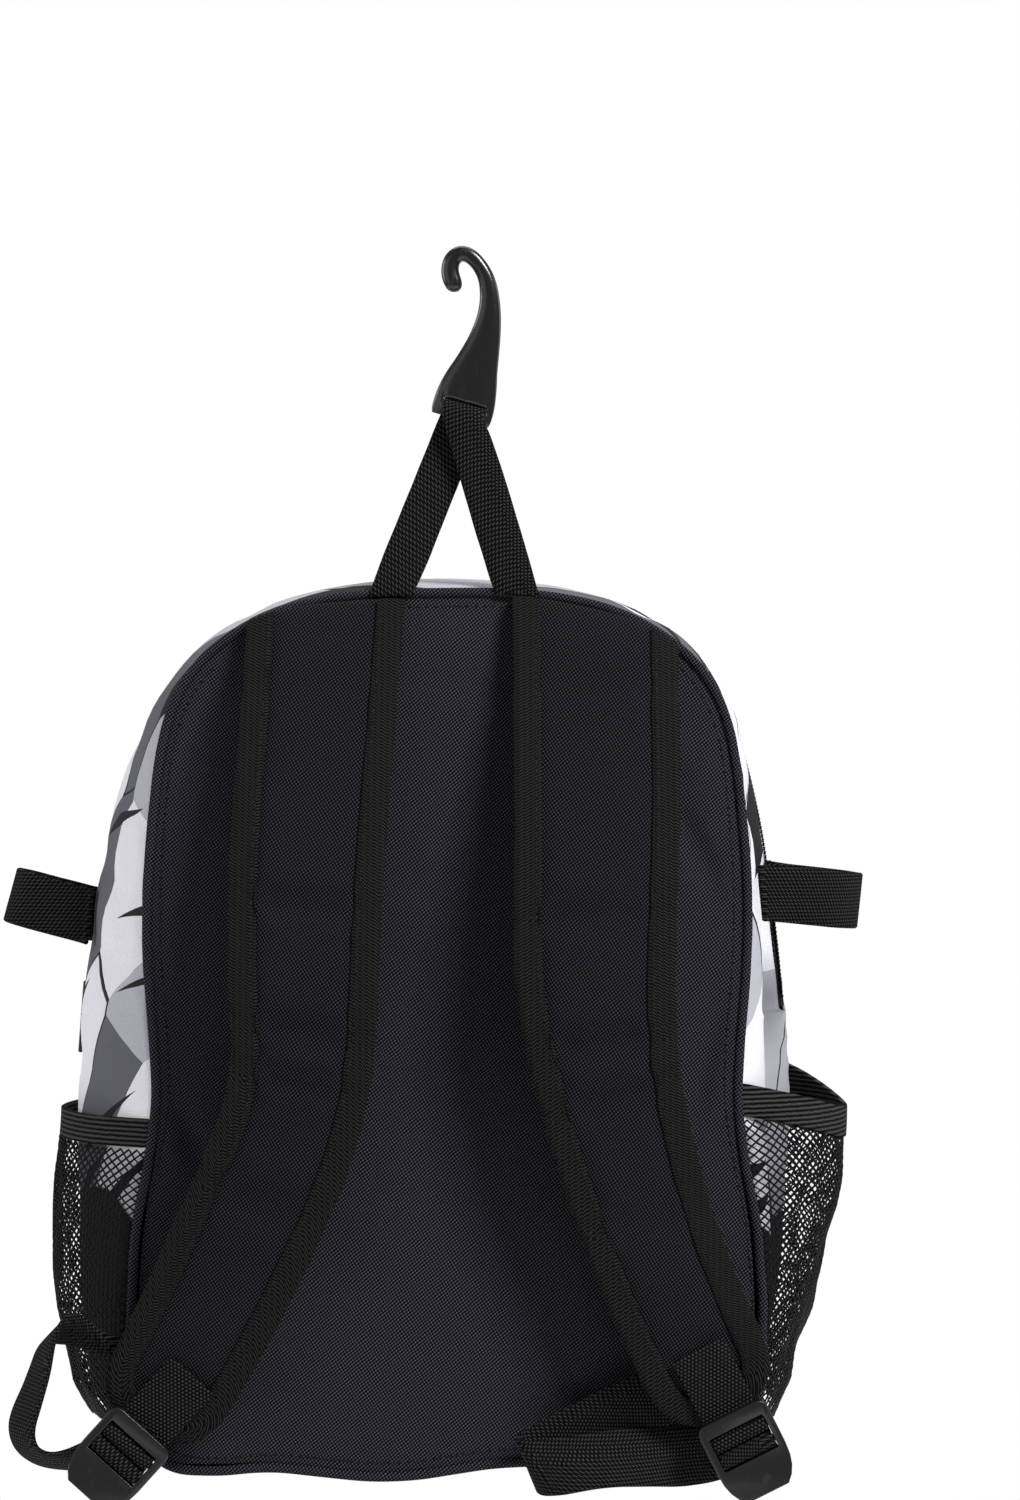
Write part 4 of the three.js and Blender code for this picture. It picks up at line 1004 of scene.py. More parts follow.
def make_materials(scene):
    """Builds every group and material once."""
    if "Panel twill" in bpy.data.materials:
        return
    sizes, trim, colours = scene.backpack_cloth, scene.backpack_trim, scene.backpack_colours
    for build in (twill_group, ribbed_group, dust_and_thread_shade_group, grain_group, print_group):
        build()
    twill_material("Panel twill", colours.panel, sizes, 0.7, 0.01)
    twill_material("Strap twill", colours.strap, sizes, 0.85, 0.01)
    ribbed_material("Edge tape", colours.tape, trim.tape_rib, 0.0004, 1.9, 0.15)
    ribbed_material("Webbing", colours.webbing, trim.webbing_rib, 0.0006, 0.95, 0.75)
    ribbed_material("Pocket elastic", colours.webbing, trim.elastic_rib, 0.0008, 1.0, 0.0)
    ribbed_material("Zip tape", colours.webbing, trim.tape_rib, 0.0003, 1.0, 0.5)
    print_material("Printed cloth", colours, sizes)
    yarn_material("Pocket net", colours.net, 0.5)
    yarn_material("Sewing thread", colours.strap, 0.6)
    yarn_material("Zip coil", colours.webbing, 0.38)
    plastic_material("Buckle plastic", colours.buckle, 0.3, 0.3)
    plastic_material("Hook plastic", colours.hook, 0.22, 0.5)
    plastic_material("Zip plastic", colours.hook, 0.35, 0.2)


def wear(obj, material, slot, *nodes):
    """Gives a piece its material, hides the nodes that it stands for, and lets it ride. The slot is not used.
    """
    obj.data.materials.clear()
    obj.data.materials.append(bpy.data.materials[material])
    if nodes:
        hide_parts(*nodes)
    return drape(obj)


# The bag's own shapes


def seam_puckers(points, distance, sizes, seed):
    """Small puckers that a seam pulls into the cloth beside it, as a depth at each point."""
    round_bag = bag_angle(points) * 0.17
    waves = np.sin(round_bag / sizes.pucker * 2 * math.pi + 2.2 * slow_noise(points, 26, seed))
    return sizes.pinch * waves * np.exp(-distance / 0.012)


def fold_back_panel(points):
    """How far the back panel's cloth lies below its plain shape, along +Y."""
    depth = np.zeros(len(points))
    for fold in BACK_FOLDS:
        place = (fold["x"] * MILLIMETRE, 0, fold["z"] * MILLIMETRE)
        turn = math.radians(fold["turn"])
        length = fold["length"] * MILLIMETRE
        width = fold["width"] * MILLIMETRE
        depth += blob(points, place, 0, 2, turn, length, width) * fold["depth"] * MILLIMETRE
    depth += 0.0011 * slow_noise(points, 17, 3) + 0.0006 * slow_noise(points, 42, 5)
    return depth


def fold_sides(points, seed, rear, front):
    """How far the side cloth lies inside its plain shape, towards the bag's middle."""
    angle = np.degrees(bag_angle(points))
    share = (points[:, 1] - rear) / (front - rear)
    reach = bag_reach(points)
    depth = np.zeros(len(points))
    for fold in SIDE_FOLDS:
        turned = (angle - fold["angle"] + 180) % 360 - 180
        lean = (share - fold["share"]) * 12
        sideway = np.radians(turned + lean) * reach / (fold["width"] * MILLIMETRE)
        lengthway = (share - fold["share"]) / fold["length"]
        depth += np.exp(-(sideway**2)) * np.exp(-(lengthway**2)) * fold["depth"] * MILLIMETRE
    depth += 0.0009 * slow_noise(points, 20, seed) + 0.0004 * slow_noise(points, 48, seed + 1)
    return depth


def radial(points):
    """Directions from the bag's middle line out through each point, level with the panels."""
    out = np.stack(
        [points[:, 0] - BAG_MIDDLE.x, np.zeros(len(points)), points[:, 2] - BAG_MIDDLE.z], axis=1
    )
    return out / np.linalg.norm(out, axis=1)[:, None]


def rim_of(obj, bins=240):
    """The outer edge of a panel as a closed path round the bag."""
    points = coordinates(obj)
    angle = bag_angle(points)
    reach = bag_reach(points)
    path = []
    for number in range(bins):
        middle = -math.pi + (number + 0.5) * 2 * math.pi / bins
        away = np.abs((angle - middle + math.pi) % (2 * math.pi) - math.pi)
        near = np.nonzero(away < 2 * math.pi / bins)[0]
        if not len(near):
            continue
        edge = near[reach[near] > reach[near].max() - 0.0025]
        far = reach[near].max()
        level = points[edge, 1].mean()
        path.append(
            (BAG_MIDDLE.x + far * math.cos(middle), level, BAG_MIDDLE.z + far * math.sin(middle))
        )
    return np.array(path)


def stitches_along(name, path, outward, trim, closed=False, sink=0.25):
    """A row of stitches along a path that lies on the cloth."""
    step = trim.stitch_length + trim.stitch_gap
    even = resampled(path, step, closed)
    wanted = np.linspace(0, 1, len(even))
    known = np.linspace(0, 1, len(outward))
    outs = np.stack([np.interp(wanted, known, outward[:, axis]) for axis in range(3)], axis=1)
    lengthway, side, out = frames_along(even, outs, closed)
    centres = even + out * trim.thread * sink
    return capsules(
        name, centres, lengthway, side, out, trim.stitch_length / 2, (trim.thread * 1.25, trim.thread)
    )


def laid_on(tree, path, direction, start=0.2):
    """Drops a path onto a surface along a direction. Gives the points that land and their normals."""
    found = []
    out = []
    way = Vector(direction)
    for point in path:
        hit, normal, _, _ = tree.ray_cast(Vector(point) - way * start, way)
        if hit is None:
            continue
        if normal.dot(way) > 0:
            normal = -normal
        found.append(tuple(hit))
        out.append(tuple(normal))
    return np.array(found), np.array(out)


def joined(name, objects):
    """Joins several objects into the first one."""
    bpy.ops.object.select_all(action="DESELECT")
    for obj in objects:
        obj.select_set(True)
    bpy.context.view_layer.objects.active = objects[0]
    if len(objects) > 1:
        bpy.ops.object.join()
    objects[0].name = name
    return objects[0]


def strap_line(side):
    """The middle line of a shoulder strap as rows of x and z, from its top down."""
    points = coordinates(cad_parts[f"strap_{side}"])
    heights = np.arange(points[:, 2].max() - 0.004, points[:, 2].min() + 0.004, -0.006)
    rows = []
    for height in heights:
        near = points[np.abs(points[:, 2] - height) < 0.009]
        if len(near):
            rows.append(((near[:, 0].min() + near[:, 0].max()) / 2, height))
    return np.array(rows)


def strap_creases(points, side):
    """How deep the straps' creases press into each point."""
    line = strap_line(side)
    middle = np.interp(points[:, 2], line[::-1, 1], line[::-1, 0])
    depth = np.zeros(len(points))
    for crease in STRAP_CREASES[side]:
        level = crease["height"] * MILLIMETRE + crease["fall"] * (points[:, 0] - middle)
        away = (points[:, 2] - level) / (crease["half"] * MILLIMETRE)
        bulge = np.exp(-(((np.abs(away) - 1.7) / 0.8) ** 2)) * 0.28
        depth += (np.exp(-(away**2)) - bulge) * crease["depth"] * MILLIMETRE
    return depth


def rear_seam(side):
    """The seam between the back panel and one side of the bag, as rows of x, y and z from its foot up."""
    rim = rim_of(bpy.data.objects["back_panel_pad"])
    hand = -1 if side == "left" else 1
    rim = rim[(rim[:, 0] - BAG_MIDDLE.x) * hand > 0.08]
    rim = rim[np.argsort(rim[:, 2])]
    return rim + np.array((hand * 0.0024, 0.0006, 0))


def seam_at(seam, height):
    """A place on a seam at a height."""
    across = np.interp(height, seam[:, 2], seam[:, 0])
    depth = np.interp(height, seam[:, 2], seam[:, 1])
    return np.array([across, depth, height])


def pocket_rows(side, heights, count):
    """A pocket's outer face as rows of points, evenly spaced from the rear seam to its front edge."""
    seam = rear_seam(side)
    node = f"pocket_net_{side}"
    tree = tree_of(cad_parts[node])
    low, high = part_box(node)
    outside = -0.5 if side == "left" else 0.5
    way = Vector((1, 0, 0)) if side == "left" else Vector((-1, 0, 0))
    rows = []
    for height in heights:
        points = []
        for depth in np.arange(low.y + 0.0004, high.y, 0.0011):
            hit, _, _, _ = tree.ray_cast(Vector((outside, depth, height)), way)
            if hit is not None:
                points.append(tuple(hit))
        if len(points) < 8:
            continue
        points = np.array([seam_at(seam, height), *points])
        run = np.concatenate([[0], np.cumsum(np.linalg.norm(np.diff(points, axis=0), axis=1))])
        places = np.linspace(0, run[-1], count)
        rows.append(np.stack([np.interp(places, run, points[:, axis]) for axis in range(3)], axis=1))
    return np.array(rows)


def square_rods(name, starts, ends, outs, half):
    """Thin square rods from starts to ends in one mesh, for the strands of a net."""
    lengthway = ends - starts
    lengthway /= np.linalg.norm(lengthway, axis=1)[:, None] + 1e-12
    side = np.cross(outs, lengthway)
    side /= np.linalg.norm(side, axis=1)[:, None] + 1e-12
    out = np.cross(lengthway, side)
    corners = ((-1, -0.8), (1, -0.8), (1, 0.8), (-1, 0.8))
    rings = []
    for base in (starts, ends):
        for across, up in corners:
            rings.append(base + side * across * half + out * up * half)
    points = np.stack(rings, axis=1).reshape(-1, 3)
    faces = []
    for number in range(len(starts)):
        first = number * 8
        for turn in range(4):
            other = (turn + 1) % 4
            faces.append((first + turn, first + other, first + 4 + other, first + 4 + turn))
        faces.append((first + 3, first + 2, first + 1, first))
        faces.append((first + 4, first + 5, first + 6, first + 7))
    return mesh_object(name, points, faces)


class BACKPACK_OT_stage(bpy.types.Operator):
    """Sets up the camera, the floor and the softboxes"""

    bl_idname = "backpack.stage"
    bl_label = "Stage"

    def execute(self, context):
        look = context.scene.backpack_stage
        lens = bpy.data.cameras.new("Camera")
        lens.lens = look.lens
        lens.sensor_width = 36
        lens.sensor_height = 36
        lens.sensor_fit = "VERTICAL"
        lens.clip_start = 0.01
        lens.clip_end = 50
        camera = bpy.data.objects.new("Camera", lens)
        camera.location = (look.camera_x, -look.camera_distance, look.camera_z)
        camera.rotation_euler = (math.radians(90), 0, 0)
        context.scene.collection.objects.link(camera)
        context.scene.camera = camera
        self.floor(look)
        self.lights(context, look)
        return {"FINISHED"}

    def floor(self, look):
        """A round pale floor under the hanging bag."""
        turns = np.radians(np.arange(0, 360, 3))
        radius = look.floor_radius
        points = [(radius * math.cos(turn), radius * math.sin(turn), look.floor_z) for turn in turns]
        floor = mesh_object("floor_disc", points, [tuple(range(len(points)))])
        material = new_material("Pale floor", (0.9, 0.9, 0.9))
        tree = material.node_tree
        place = object_place(tree)
        cloud = noisy(tree, place, 1.3, 2.0)
        paper = mixed(tree, cloud, (0.93, 0.93, 0.93, 1), (0.9, 0.9, 0.905, 1))
        finish_material(material, {"Base Color": paper, "Roughness": 0.9, "Specular IOR Level": 0.1})
        floor.data.materials.append(material)

    def lights(self, context, look):
        """Large softboxes round the bag and a white room."""
        boxes = (
            ("key_softbox", (1.3, -1.4, 1.3), look.key_power, 0.8),
            ("fill_softbox", (-1.5, -1.7, 0.2), look.fill_power, 1.6),
            ("left_softbox", (-1.9, 0.2, 0.2), look.rim_power * 1.6, 1.4),
            ("right_softbox", (1.9, 0.7, 0.2), look.rim_power * 0.6, 1.4),
            ("floor_softbox", (0.0, 0.6, 1.6), look.fill_power * 2.5, 1.6),
        )
        target = Vector((0, 0, -0.3))
        for name, place, power, size in boxes:
            light = bpy.data.lights.new(name, "AREA")
            light.energy = power
            light.size = size
            obj = bpy.data.objects.new(name, light)
            obj.location = place
            obj.rotation_euler = (target - Vector(place)).to_track_quat("-Z", "Y").to_euler()
            context.scene.collection.objects.link(obj)
        world = bpy.data.worlds.new("White room")
        world.use_nodes = True
        tree = world.node_tree
        room = tree.nodes["Background"].inputs
        room["Color"].default_value = (1, 1, 1, 1)
        seen = shader(tree, "ShaderNodeLightPath").outputs["Is Camera Ray"]
        bright = shader(tree, "ShaderNodeMapRange", {"Value": seen, "To Min": look.room_light, "To Max": 1.0})
        tree.links.new(bright.outputs["Result"], room["Strength"])
        context.scene.world = world
        context.scene.view_settings.view_transform = "Standard"
        context.scene.view_settings.look = "None"


class BACKPACK_OT_panels(bpy.types.Operator):
    """Makes the padded back panel and the plain front panel"""

    bl_idname = "backpack.panels"
    bl_label = "Back and front panels"

    def execute(self, context):
        sizes = context.scene.backpack_cloth
        make_materials(context.scene)
        self.back(sizes)
        self.front()
        return {"FINISHED"}

    def back(self, sizes):
        """The padded panel against the wearer's back."""
        pad = sewn_copy("back_panel", "back_panel_pad", 3)
        rim = rim_of(pad)
        points = coordinates(pad)
        edge = KDTree(len(rim))
        for number, point in enumerate(rim):
            edge.insert(point, number)
        edge.balance()
        distance = np.array([edge.find(point)[2] for point in points])
        facing = normals(pad)[:, 1] < -0.3
        parts = ("strap", "strap_binding", "strap_patch", "strap_webbing")
        over = tree_of(*(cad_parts[f"{part}_{side}"] for side in SIDES for part in parts))
        room = np.full(len(points), sizes.back_swell)
        for number in np.nonzero(facing)[0]:
            hit, _, _, reach = over.ray_cast(Vector(points[number]), TOWARDS_STRAPS)
            if hit is not None:
                room[number] = min(room[number], max(0.0, reach - 0.001))
        room[~facing] = 0.0
        room *= np.clip((distance - 0.004) / 0.03, 0, 1)
        swell(pad, room, sizes)
        points = coordinates(pad)
        depth = fold_back_panel(points) * np.clip((distance - 0.003) / 0.012, 0, 1)
        depth += np.abs(seam_puckers(points, distance, sizes, 11)) * np.clip(distance / 0.004, 0, 1)
        depth = np.where(facing, np.maximum(depth, -room * 0.4), 0.0)
        points[:, 1] += depth
        move_points(pad, points)
        lay_flat(pad)
        wear(pad, "Panel twill", "panel_cloth", "back_panel")

    def front(self):
        """The outer panel, crowned and slack."""
        cover = sewn_copy("front_panel", "front_panel_cloth", 3)
        points = coordinates(cover)
        reach = bag_reach(points)
        fade = np.clip((0.145 - reach) / 0.03, 0, 1)
        depth = 0.0016 * slow_noise(points, 11, 21) + 0.0008 * slow_noise(points, 27, 22)
        depth += 0.0004 * slow_noise(points, 60, 23)
        points[:, 1] -= np.clip(depth + 0.0008, -0.001, 0.004) * fade
        move_points(cover, points)
        lay_flat(cover)
        wear(cover, "Panel twill", "panel_cloth", "front_panel")


class BACKPACK_OT_sides(bpy.types.Operator):
    """Makes the printed cloth round the sides and the black base"""

    bl_idname = "backpack.sides"
    bl_label = "Printed sides and base"

    def execute(self, context):
        sizes = context.scene.backpack_cloth
        make_materials(context.scene)
        rear, front = GUSSET_LOW.y, GUSSET_HIGH.y
        for node, name, seed, cut in (
            ("gusset_rear", "side_cloth_rear", 31, (0.119, 0.78)),
            ("gusset_front", "side_cloth_front", 37, (0.049, 0.66)),
        ):
            cloth = sewn_copy(node, name, 2)
            points = coordinates(cloth)
            low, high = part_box(node)
            edge = np.minimum(points[:, 1] - low.y, high.y - points[:, 1])
            edge = np.maximum(edge, 0)
            depth = fold_sides(points, seed, rear, front) * np.clip(edge / 0.012, 0, 1)
            depth += seam_puckers(points, edge, sizes, seed) * np.clip(edge / 0.003, 0, 1)
            points -= radial(points) * depth[:, None]
            move_points(cloth, points)
            lay_round(cloth)
            wear(cloth, "Printed cloth", "print_cloth", node)
        self.base(sizes)
        return {"FINISHED"}

    def base(self, sizes):
        """The black cloth under the bag and round its corners."""
        cloth = sewn_copy("base_panel", "base_cloth", 3)
        points = coordinates(cloth)
        low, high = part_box("base_panel")
        edge = np.maximum(np.minimum(points[:, 1] - low.y, high.y - points[:, 1]), 0)
        depth = 0.0012 * slow_noise(points, 22, 41) + 0.0007 * slow_noise(points, 55, 42)
        depth += seam_puckers(points, edge, sizes, 43)
        points -= radial(points) * (depth * np.clip(edge / 0.008, 0, 1))[:, None]
        move_points(cloth, points)
        lay_round(cloth)
        wear(cloth, "Panel twill", "panel_cloth", "base_panel")


class BACKPACK_OT_seams(bpy.types.Operator):
    """Rolls the seams between the panels and the sides, and sews them"""

    bl_idname = "backpack.seams"
    bl_label = "Seams"

    def execute(self, context):
        sizes, trim = context.scene.backpack_cloth, context.scene.backpack_trim
        make_materials(context.scene)
        for panel, direction, title in (
            ("back_panel_pad", TOWARDS_STRAPS, "rear"),
            ("front_panel_cloth", TOWARDS_FRONT, "front"),
        ):
            rim = smoothed(resampled(rim_of(bpy.data.objects[panel]), 0.003, True), 6, True)
            outward = radial(rim)
            centre = rim + outward * 0.0008 + np.array(direction) * 0.001
            welt = tube(f"seam_welt_{title}", centre, outward, (sizes.welt * 0.8, sizes.welt), True)
            reach = coordinates(welt)
            set_cloth(welt, reach[:, 0], reach[:, 2])
            wear(welt, "Panel twill", "panel_cloth")
            surface = tree_of(bpy.data.objects[panel])
            inner = rim - outward * 0.0055
            row, out = laid_on(surface, inner, -direction)
            sewn = stitches_along(f"seam_stitches_{title}", row, out, trim, True)
            wear(sewn, "Sewing thread", "panel_cloth")
        return {"FINISHED"}


class BACKPACK_OT_zip(bpy.types.Operator):
    """Makes the zip's tape, its coil, its slider and its pull"""

    bl_idname = "backpack.zip"
    bl_label = "Zip"

    def execute(self, context):
        trim = context.scene.backpack_trim
        make_materials(context.scene)
        tape = sewn_copy("zip_tape", "zip_tape_cloth", 2)
        lay_round(tape)
        wear(tape, "Zip tape", "zip_tape", "zip_tape")
        surface = tree_of(tape)
        points = coordinates(tape)
        middle = (points[:, 1].min() + points[:, 1].max()) / 2
        path = []
        out = []
        for angle in np.radians(np.arange(-60, 240, 0.5)):
            way = Vector((math.cos(angle), 0, math.sin(angle)))
            start = Vector((BAG_MIDDLE.x, middle, BAG_MIDDLE.z)) + way * 0.5
            hit, normal, _, _ = surface.ray_cast(start, -way)
            if hit is not None and normal.dot(way) > 0.1:
                path.append(tuple(hit))
                out.append(tuple(normal))
        even = resampled(smoothed(path, 3), trim.zip_pitch)
        outs = radial(even)
        lengthway, side, up = frames_along(even, outs)
        coil = []
        for hand in (-1, 1):
            centres = even + side * hand * 0.0013 + up * 0.0006 + lengthway * (hand * trim.zip_pitch / 4)
            coil.append(
                capsules(f"coil_{hand}", centres, side, lengthway, up, 0.0019, (trim.zip_turn, trim.zip_turn))
            )
        teeth = joined("zip_coil", coil)
        wear(teeth, "Zip coil", "zip_tape")
        for node in ("zip_slider", "zip_pull"):
            wear(moulded_copy(node, f"{node}_moulded", 0.0008), "Zip plastic", "zip_plastic", node)
        return {"FINISHED"}


class BACKPACK_OT_straps(bpy.types.Operator):
    """Makes the padded shoulder straps with their bound edges and end patches"""

    bl_idname = "backpack.straps"
    bl_label = "Shoulder straps"

    def execute(self, context):
        sizes, trim = context.scene.backpack_cloth, context.scene.backpack_trim
        make_materials(context.scene)
        for side in SIDES:
            self.pad(side, sizes)
            self.binding(side, trim)
            self.patch(side)
        return {"FINISHED"}

    def pad(self, side, sizes):
        """The strap's foam and its cover, puffed out between the bindings and creased across."""
        pad = sewn_copy(f"strap_{side}", f"strap_pad_{side}", 2, crease=0.3)
        binding = tree_of(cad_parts[f"strap_binding_{side}"])
        points = coordinates(pad)
        free = np.array([binding.find_nearest(Vector(point))[3] or 0.0 for point in points])
        caps = sizes.strap_swell * np.clip((free - 0.0012) / 0.012, 0, 1)
        behind = normals(pad)[:, 1] > 0.2
        caps[behind] *= 0.12
        swell(pad, caps, sizes)
        facing = normals(pad)[:, 1] < 0.1
        points = coordinates(pad)
        fade = np.clip((free - 0.0006) / 0.006, 0, 1) * facing
        depth = strap_creases(points, side) + 0.0005 * slow_noise(points, 30, 51)
        depth += 0.0003 * slow_noise(points, 75, 52)
        points -= normals(pad) * (depth * fade)[:, None]
        move_points(pad, points)
        lay_flat(pad)
        wear(pad, "Strap twill", "strap_cloth", f"strap_{side}")

    def binding(self, side, trim):
        """The folded tape round the strap's edge, with a row of stitches on each run."""
        tape = sewn_copy(f"strap_binding_{side}", f"strap_binding_tape_{side}", 2, crease=0.55)
        points = coordinates(tape)
        depth = 0.5 * strap_creases(points, side) + 0.00035 * slow_noise(points, 60, 61)
        facing = normals(tape)[:, 1] < 0.2
        points -= normals(tape) * (np.where(facing, depth, 0))[:, None]
        move_points(tape, points)
        top = points[points[:, 2].argmax()]
        lay_ribbon(tape, top, 0)
        wear(tape, "Edge tape", "binding_tape", f"strap_binding_{side}")
        surface = tree_of(tape)
        low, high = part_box(f"strap_binding_{side}")
        rows = {"outer": [], "inner": []}
        for height in np.arange(high.z - 0.004, low.z + 0.012, -0.003):
            found = []
            for across in np.arange(low.x, high.x, 0.0007):
                hit, _, _, _ = surface.ray_cast(Vector((across, -0.3, height)), TOWARDS_FRONT)
                if hit is not None:
                    found.append(across)
            if len(found) < 6:
                continue
            found = np.array(found)
            jumps = np.nonzero(np.diff(found) > 0.01)[0]
            if not len(jumps):
                continue
            rows["outer"].append((found[jumps[0]] - 0.002, 0, height))
            rows["inner"].append((found[jumps[0] + 1] + 0.002, 0, height))
        for title, path in rows.items():
            if len(path) < 4:
                continue
            row, out = laid_on(surface, resampled(smoothed(path, 2), 0.002), TOWARDS_FRONT)
            sewn = stitches_along(f"strap_stitches_{title}_{side}", row, out, trim)
            wear(sewn, "Sewing thread", "binding_tape")

    def patch(self, side):
        """The doubled cloth that holds the buckle at the strap's end."""
        patch = sewn_copy(f"strap_patch_{side}", f"strap_patch_cloth_{side}", 2)
        lay_flat(patch)
        wear(patch, "Webbing", "panel_cloth", f"strap_patch_{side}")


class BACKPACK_OT_webbing(bpy.types.Operator):
    """Makes the hanging loop, the side loops and the adjuster webbing"""

    bl_idname = "backpack.webbing"
    bl_label = "Webbing"

    def execute(self, context):
        make_materials(context.scene)
        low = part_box("hang_loop")[0]
        ribbons = [("hang_loop", "hang_loop_webbing", (low.x, 0, low.z), 0)]
        for side in SIDES:
            low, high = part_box(f"bat_loop_{side}")
            root = high.x if side == "left" else low.x
            ribbons.append((f"bat_loop_{side}", f"side_loop_webbing_{side}", (root, low.y, low.z), 2))
            low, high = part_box(f"strap_webbing_{side}")
            ribbons.append((f"strap_webbing_{side}", f"adjuster_webbing_{side}", (high.x, low.y, low.z), 2))
        for node, name, seed, across in ribbons:
            piece = sewn_copy(node, name, 2)
            points = coordinates(piece)
            lift = 0.0003 + 0.0002 * slow_noise(points, 70, 71)
            move_points(piece, points + normals(piece) * lift[:, None])
            lay_ribbon(piece, seed, across)
            wear(piece, "Webbing", "webbing", node)
        return {"FINISHED"}


class BACKPACK_OT_hardware(bpy.types.Operator):
    """Makes the moulded fence hook and the strap buckles"""

    bl_idname = "backpack.hardware"
    bl_label = "Hook and buckles"

    def execute(self, context):
        make_materials(context.scene)
        hook = sewn_copy("fence_hook", "fence_hook_moulded", 2, sharp=math.radians(60), crease=0.75)
        self.close_slot(hook)
        wear(hook, "Hook plastic", "hook_plastic", "fence_hook")
        for side in SIDES:
            buckle = moulded_copy(f"ladder_lock_{side}", f"ladder_lock_moulded_{side}", 0.0011)
            self.curl_lip(buckle, side)
            wear(buckle, "Buckle plastic", "buckle_plastic", f"ladder_lock_{side}")
        return {"FINISHED"}

    def close_slot(self, hook):
        """Draws the slot's walls in until the webbing fills it."""
        webbing = tree_of(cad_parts["hang_loop"])
        points = coordinates(hook)
        for number, point in enumerate(points):
            near, _, _, away = webbing.find_nearest(Vector(point))
            if away < 1.6 * MILLIMETRE:
                points[number] = near
        move_points(hook, points)

    def curl_lip(self, buckle, side):
        """Curls the buckle's thumb lip a little towards the viewer."""
        points = coordinates(buckle)
        low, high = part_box(f"strap_patch_{side}")
        top = np.array([(low.x + high.x) / 2, (low.z + high.z) / 2])
        middle = np.array([points[:, 0].mean(), points[:, 2].mean()])
        way = (middle - top) / np.linalg.norm(middle - top)
        run = (points[:, [0, 2]] - middle) @ way
        lip = np.clip((run - 0.3 * run.max()) / (0.7 * run.max()), 0, 1)
        points[:, 1] -= 0.0026 * lip**2
        move_points(buckle, points)


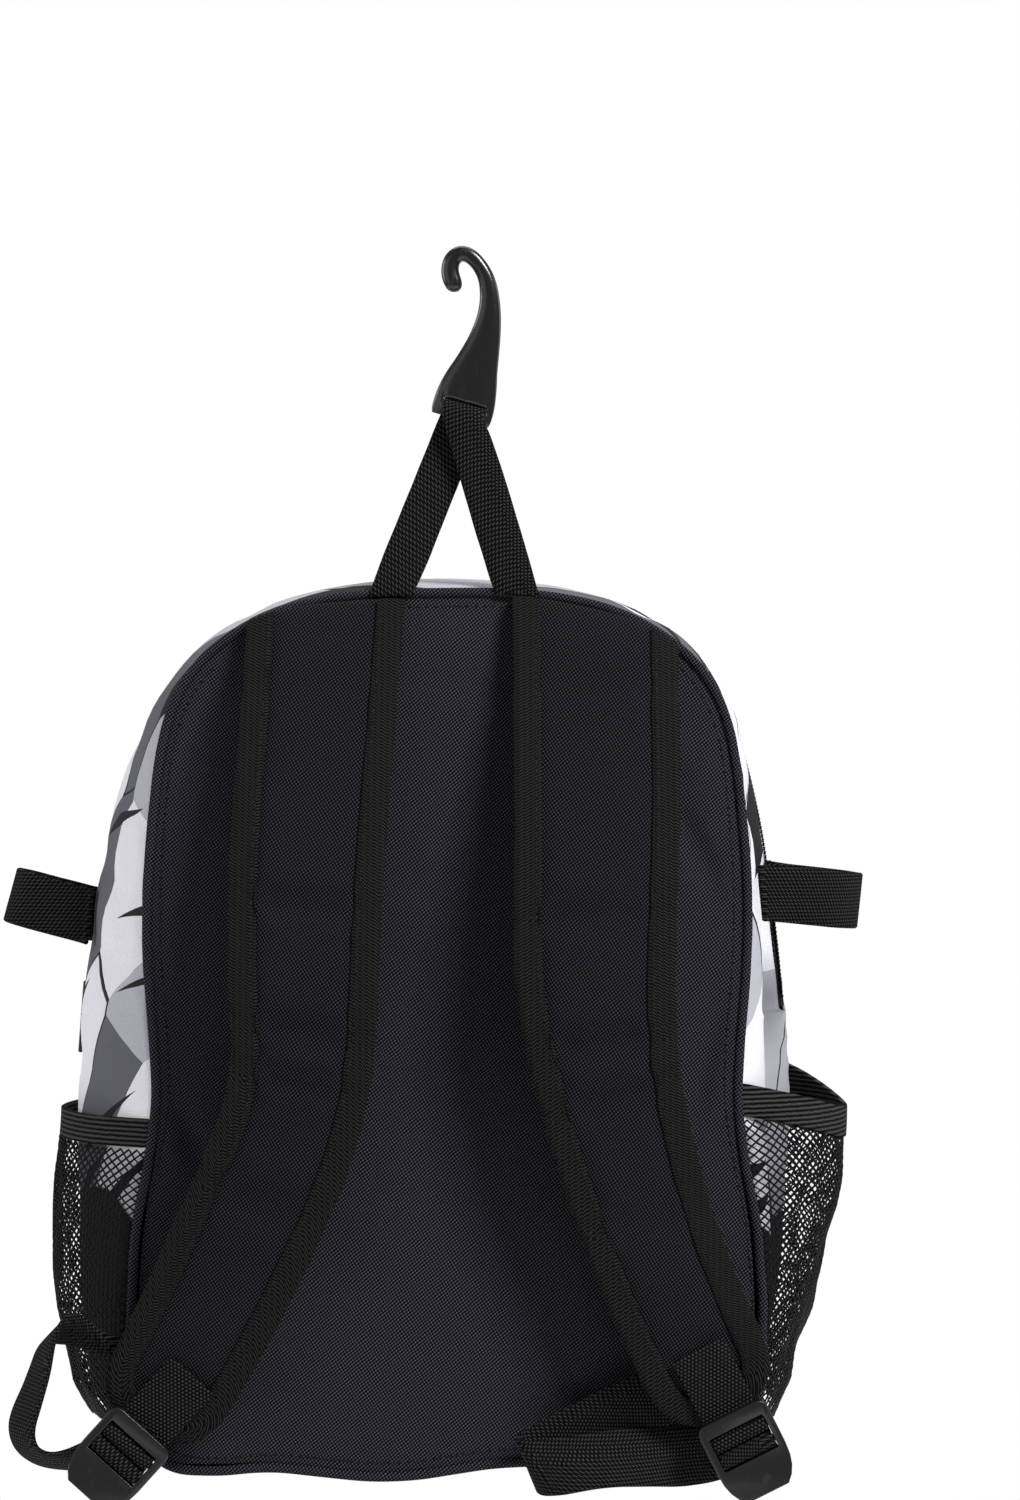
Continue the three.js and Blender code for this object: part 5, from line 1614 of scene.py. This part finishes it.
class BACKPACK_OT_pockets(bpy.types.Operator):
    """Makes the net pockets with their elastic tops"""

    bl_idname = "backpack.pockets"
    bl_label = "Net pockets"

    def execute(self, context):
        trim = context.scene.backpack_trim
        make_materials(context.scene)
        for side, cut in (("left", (0.155, 0.126)), ("right", (0.155, 0.139))):
            net = self.net(side, trim)
            band = self.band(side, trim.elastic_rib)
        return {"FINISHED"}

    def net(self, side, trim):
        """Diamond net of knitted strands, rippled a little in and out between its rear seam and its front
        edge.
        """
        low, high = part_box(f"pocket_net_{side}")
        heights = np.arange(low.z + 0.0008, high.z, trim.net_rise / 2)
        cells = int(round((high.y - low.y) / trim.net_cell))
        rows = pocket_rows(side, heights, 2 * cells + 1)
        hand = -1 if side == "left" else 1
        out = np.zeros(3)
        out[0] = hand
        gather = 0.0016 if side == "right" else 0.001
        flat = rows.reshape(-1, 3)
        wave = slow_noise(flat * np.array([1, 1, 0.35]), 95, 81 + hand) + 0.6 * slow_noise(flat, 40, 83)
        share = np.linspace(0, 1, rows.shape[1])
        hold = np.clip(np.minimum(share, 1 - share) / 0.08, 0, 1)
        rows = rows + (gather * wave.reshape(rows.shape[:2]) * hold[None, :])[:, :, None] * out
        starts = []
        ends = []
        for row in range(len(rows) - 1):
            shift = row % 2
            for column in range(shift, rows.shape[1], 2):
                for step in (-1, 1):
                    if 0 <= column + step < rows.shape[1]:
                        starts.append(rows[row, column])
                        ends.append(rows[row + 1, column + step])
        for edge in (0, rows.shape[1] - 1):
            for row in range(len(rows) - 1):
                starts.append(rows[row, edge])
                ends.append(rows[row + 1, edge])
        starts, ends = np.array(starts), np.array(ends)
        outs = np.tile(out, (len(starts), 1))
        net = square_rods(f"pocket_net_strands_{side}", starts, ends, outs, trim.net_strand)
        return wear(net, "Pocket net", "pocket_net", f"pocket_net_{side}")

    def band(self, side, rib_length):
        """The ribbed elastic along the pocket's top."""
        band = sewn_copy(f"pocket_band_{side}", f"pocket_elastic_{side}", 3)
        points = coordinates(band)
        seam = rear_seam(side)
        rear = points[:, 1].min()
        edge = points[points[:, 1] < rear + 0.002]
        pull = seam_at(seam, edge[:, 2].mean()) - edge.mean(axis=0)
        points += np.clip(1 - (points[:, 1] - rear) / 0.02, 0, 1)[:, None] * pull * np.array((1, 1, 0))
        move_points(band, points)
        set_cloth(band, rib_length / 2, points[:, 2] + self.slope(side) * points[:, 1])
        return wear(band, "Pocket elastic", "pocket_elastic", f"pocket_band_{side}")

    def slope(self, side):
        """Fall of the band's top edge from its rear to its front, so that the ribs follow it."""
        points = coordinates(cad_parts[f"pocket_band_{side}"])
        rear = points[points[:, 1] < points[:, 1].min() + 0.01]
        front = points[points[:, 1] > points[:, 1].max() - 0.01]
        return -(front[:, 2].max() - rear[:, 2].max()) / (front[:, 1].mean() - rear[:, 1].mean())


class BACKPACK_PT_sidebar(bpy.types.Panel):
    """Lists the bag's pieces and sizes in the sidebar"""

    bl_idname = "BACKPACK_PT_sidebar"
    bl_label = "Bat Backpack"
    bl_space_type = "VIEW_3D"
    bl_region_type = "UI"
    bl_category = "Bag"

    def draw(self, context):
        scene = context.scene
        for title, group in (
            ("Cloth", scene.backpack_cloth),
            ("Trim", scene.backpack_trim),
            ("Colours", scene.backpack_colours),
            ("Stage", scene.backpack_stage),
        ):
            box = self.layout.box()
            box.label(text=title)
            for name in group.__annotations__:
                box.prop(group, name)
        for operator in OPERATORS:
            self.layout.operator(operator.bl_idname)


PROPERTY_GROUPS = {
    "backpack_cloth": BackpackClothSizes,
    "backpack_trim": BackpackTrimSizes,
    "backpack_colours": BackpackColours,
    "backpack_stage": BackpackStageLook,
}
OPERATORS = (
    BACKPACK_OT_stage,
    BACKPACK_OT_panels,
    BACKPACK_OT_sides,
    BACKPACK_OT_seams,
    BACKPACK_OT_zip,
    BACKPACK_OT_straps,
    BACKPACK_OT_webbing,
    BACKPACK_OT_hardware,
    BACKPACK_OT_pockets,
)
CLASSES = (*PROPERTY_GROUPS.values(), *OPERATORS, BACKPACK_PT_sidebar)


def register():
    for cls in CLASSES:
        bpy.utils.register_class(cls)
    for name, cls in PROPERTY_GROUPS.items():
        setattr(bpy.types.Scene, name, PointerProperty(type=cls))


def unregister():
    for name in PROPERTY_GROUPS:
        delattr(bpy.types.Scene, name)
    for cls in reversed(CLASSES):
        bpy.utils.unregister_class(cls)


def main():
    register()
    bpy.ops.backpack.stage()
    bpy.ops.backpack.panels()
    bpy.ops.backpack.sides()
    bpy.ops.backpack.seams()
    bpy.ops.backpack.zip()
    bpy.ops.backpack.straps()
    bpy.ops.backpack.webbing()
    bpy.ops.backpack.hardware()
    bpy.ops.backpack.pockets()


if __name__ == "__main__":
    main()
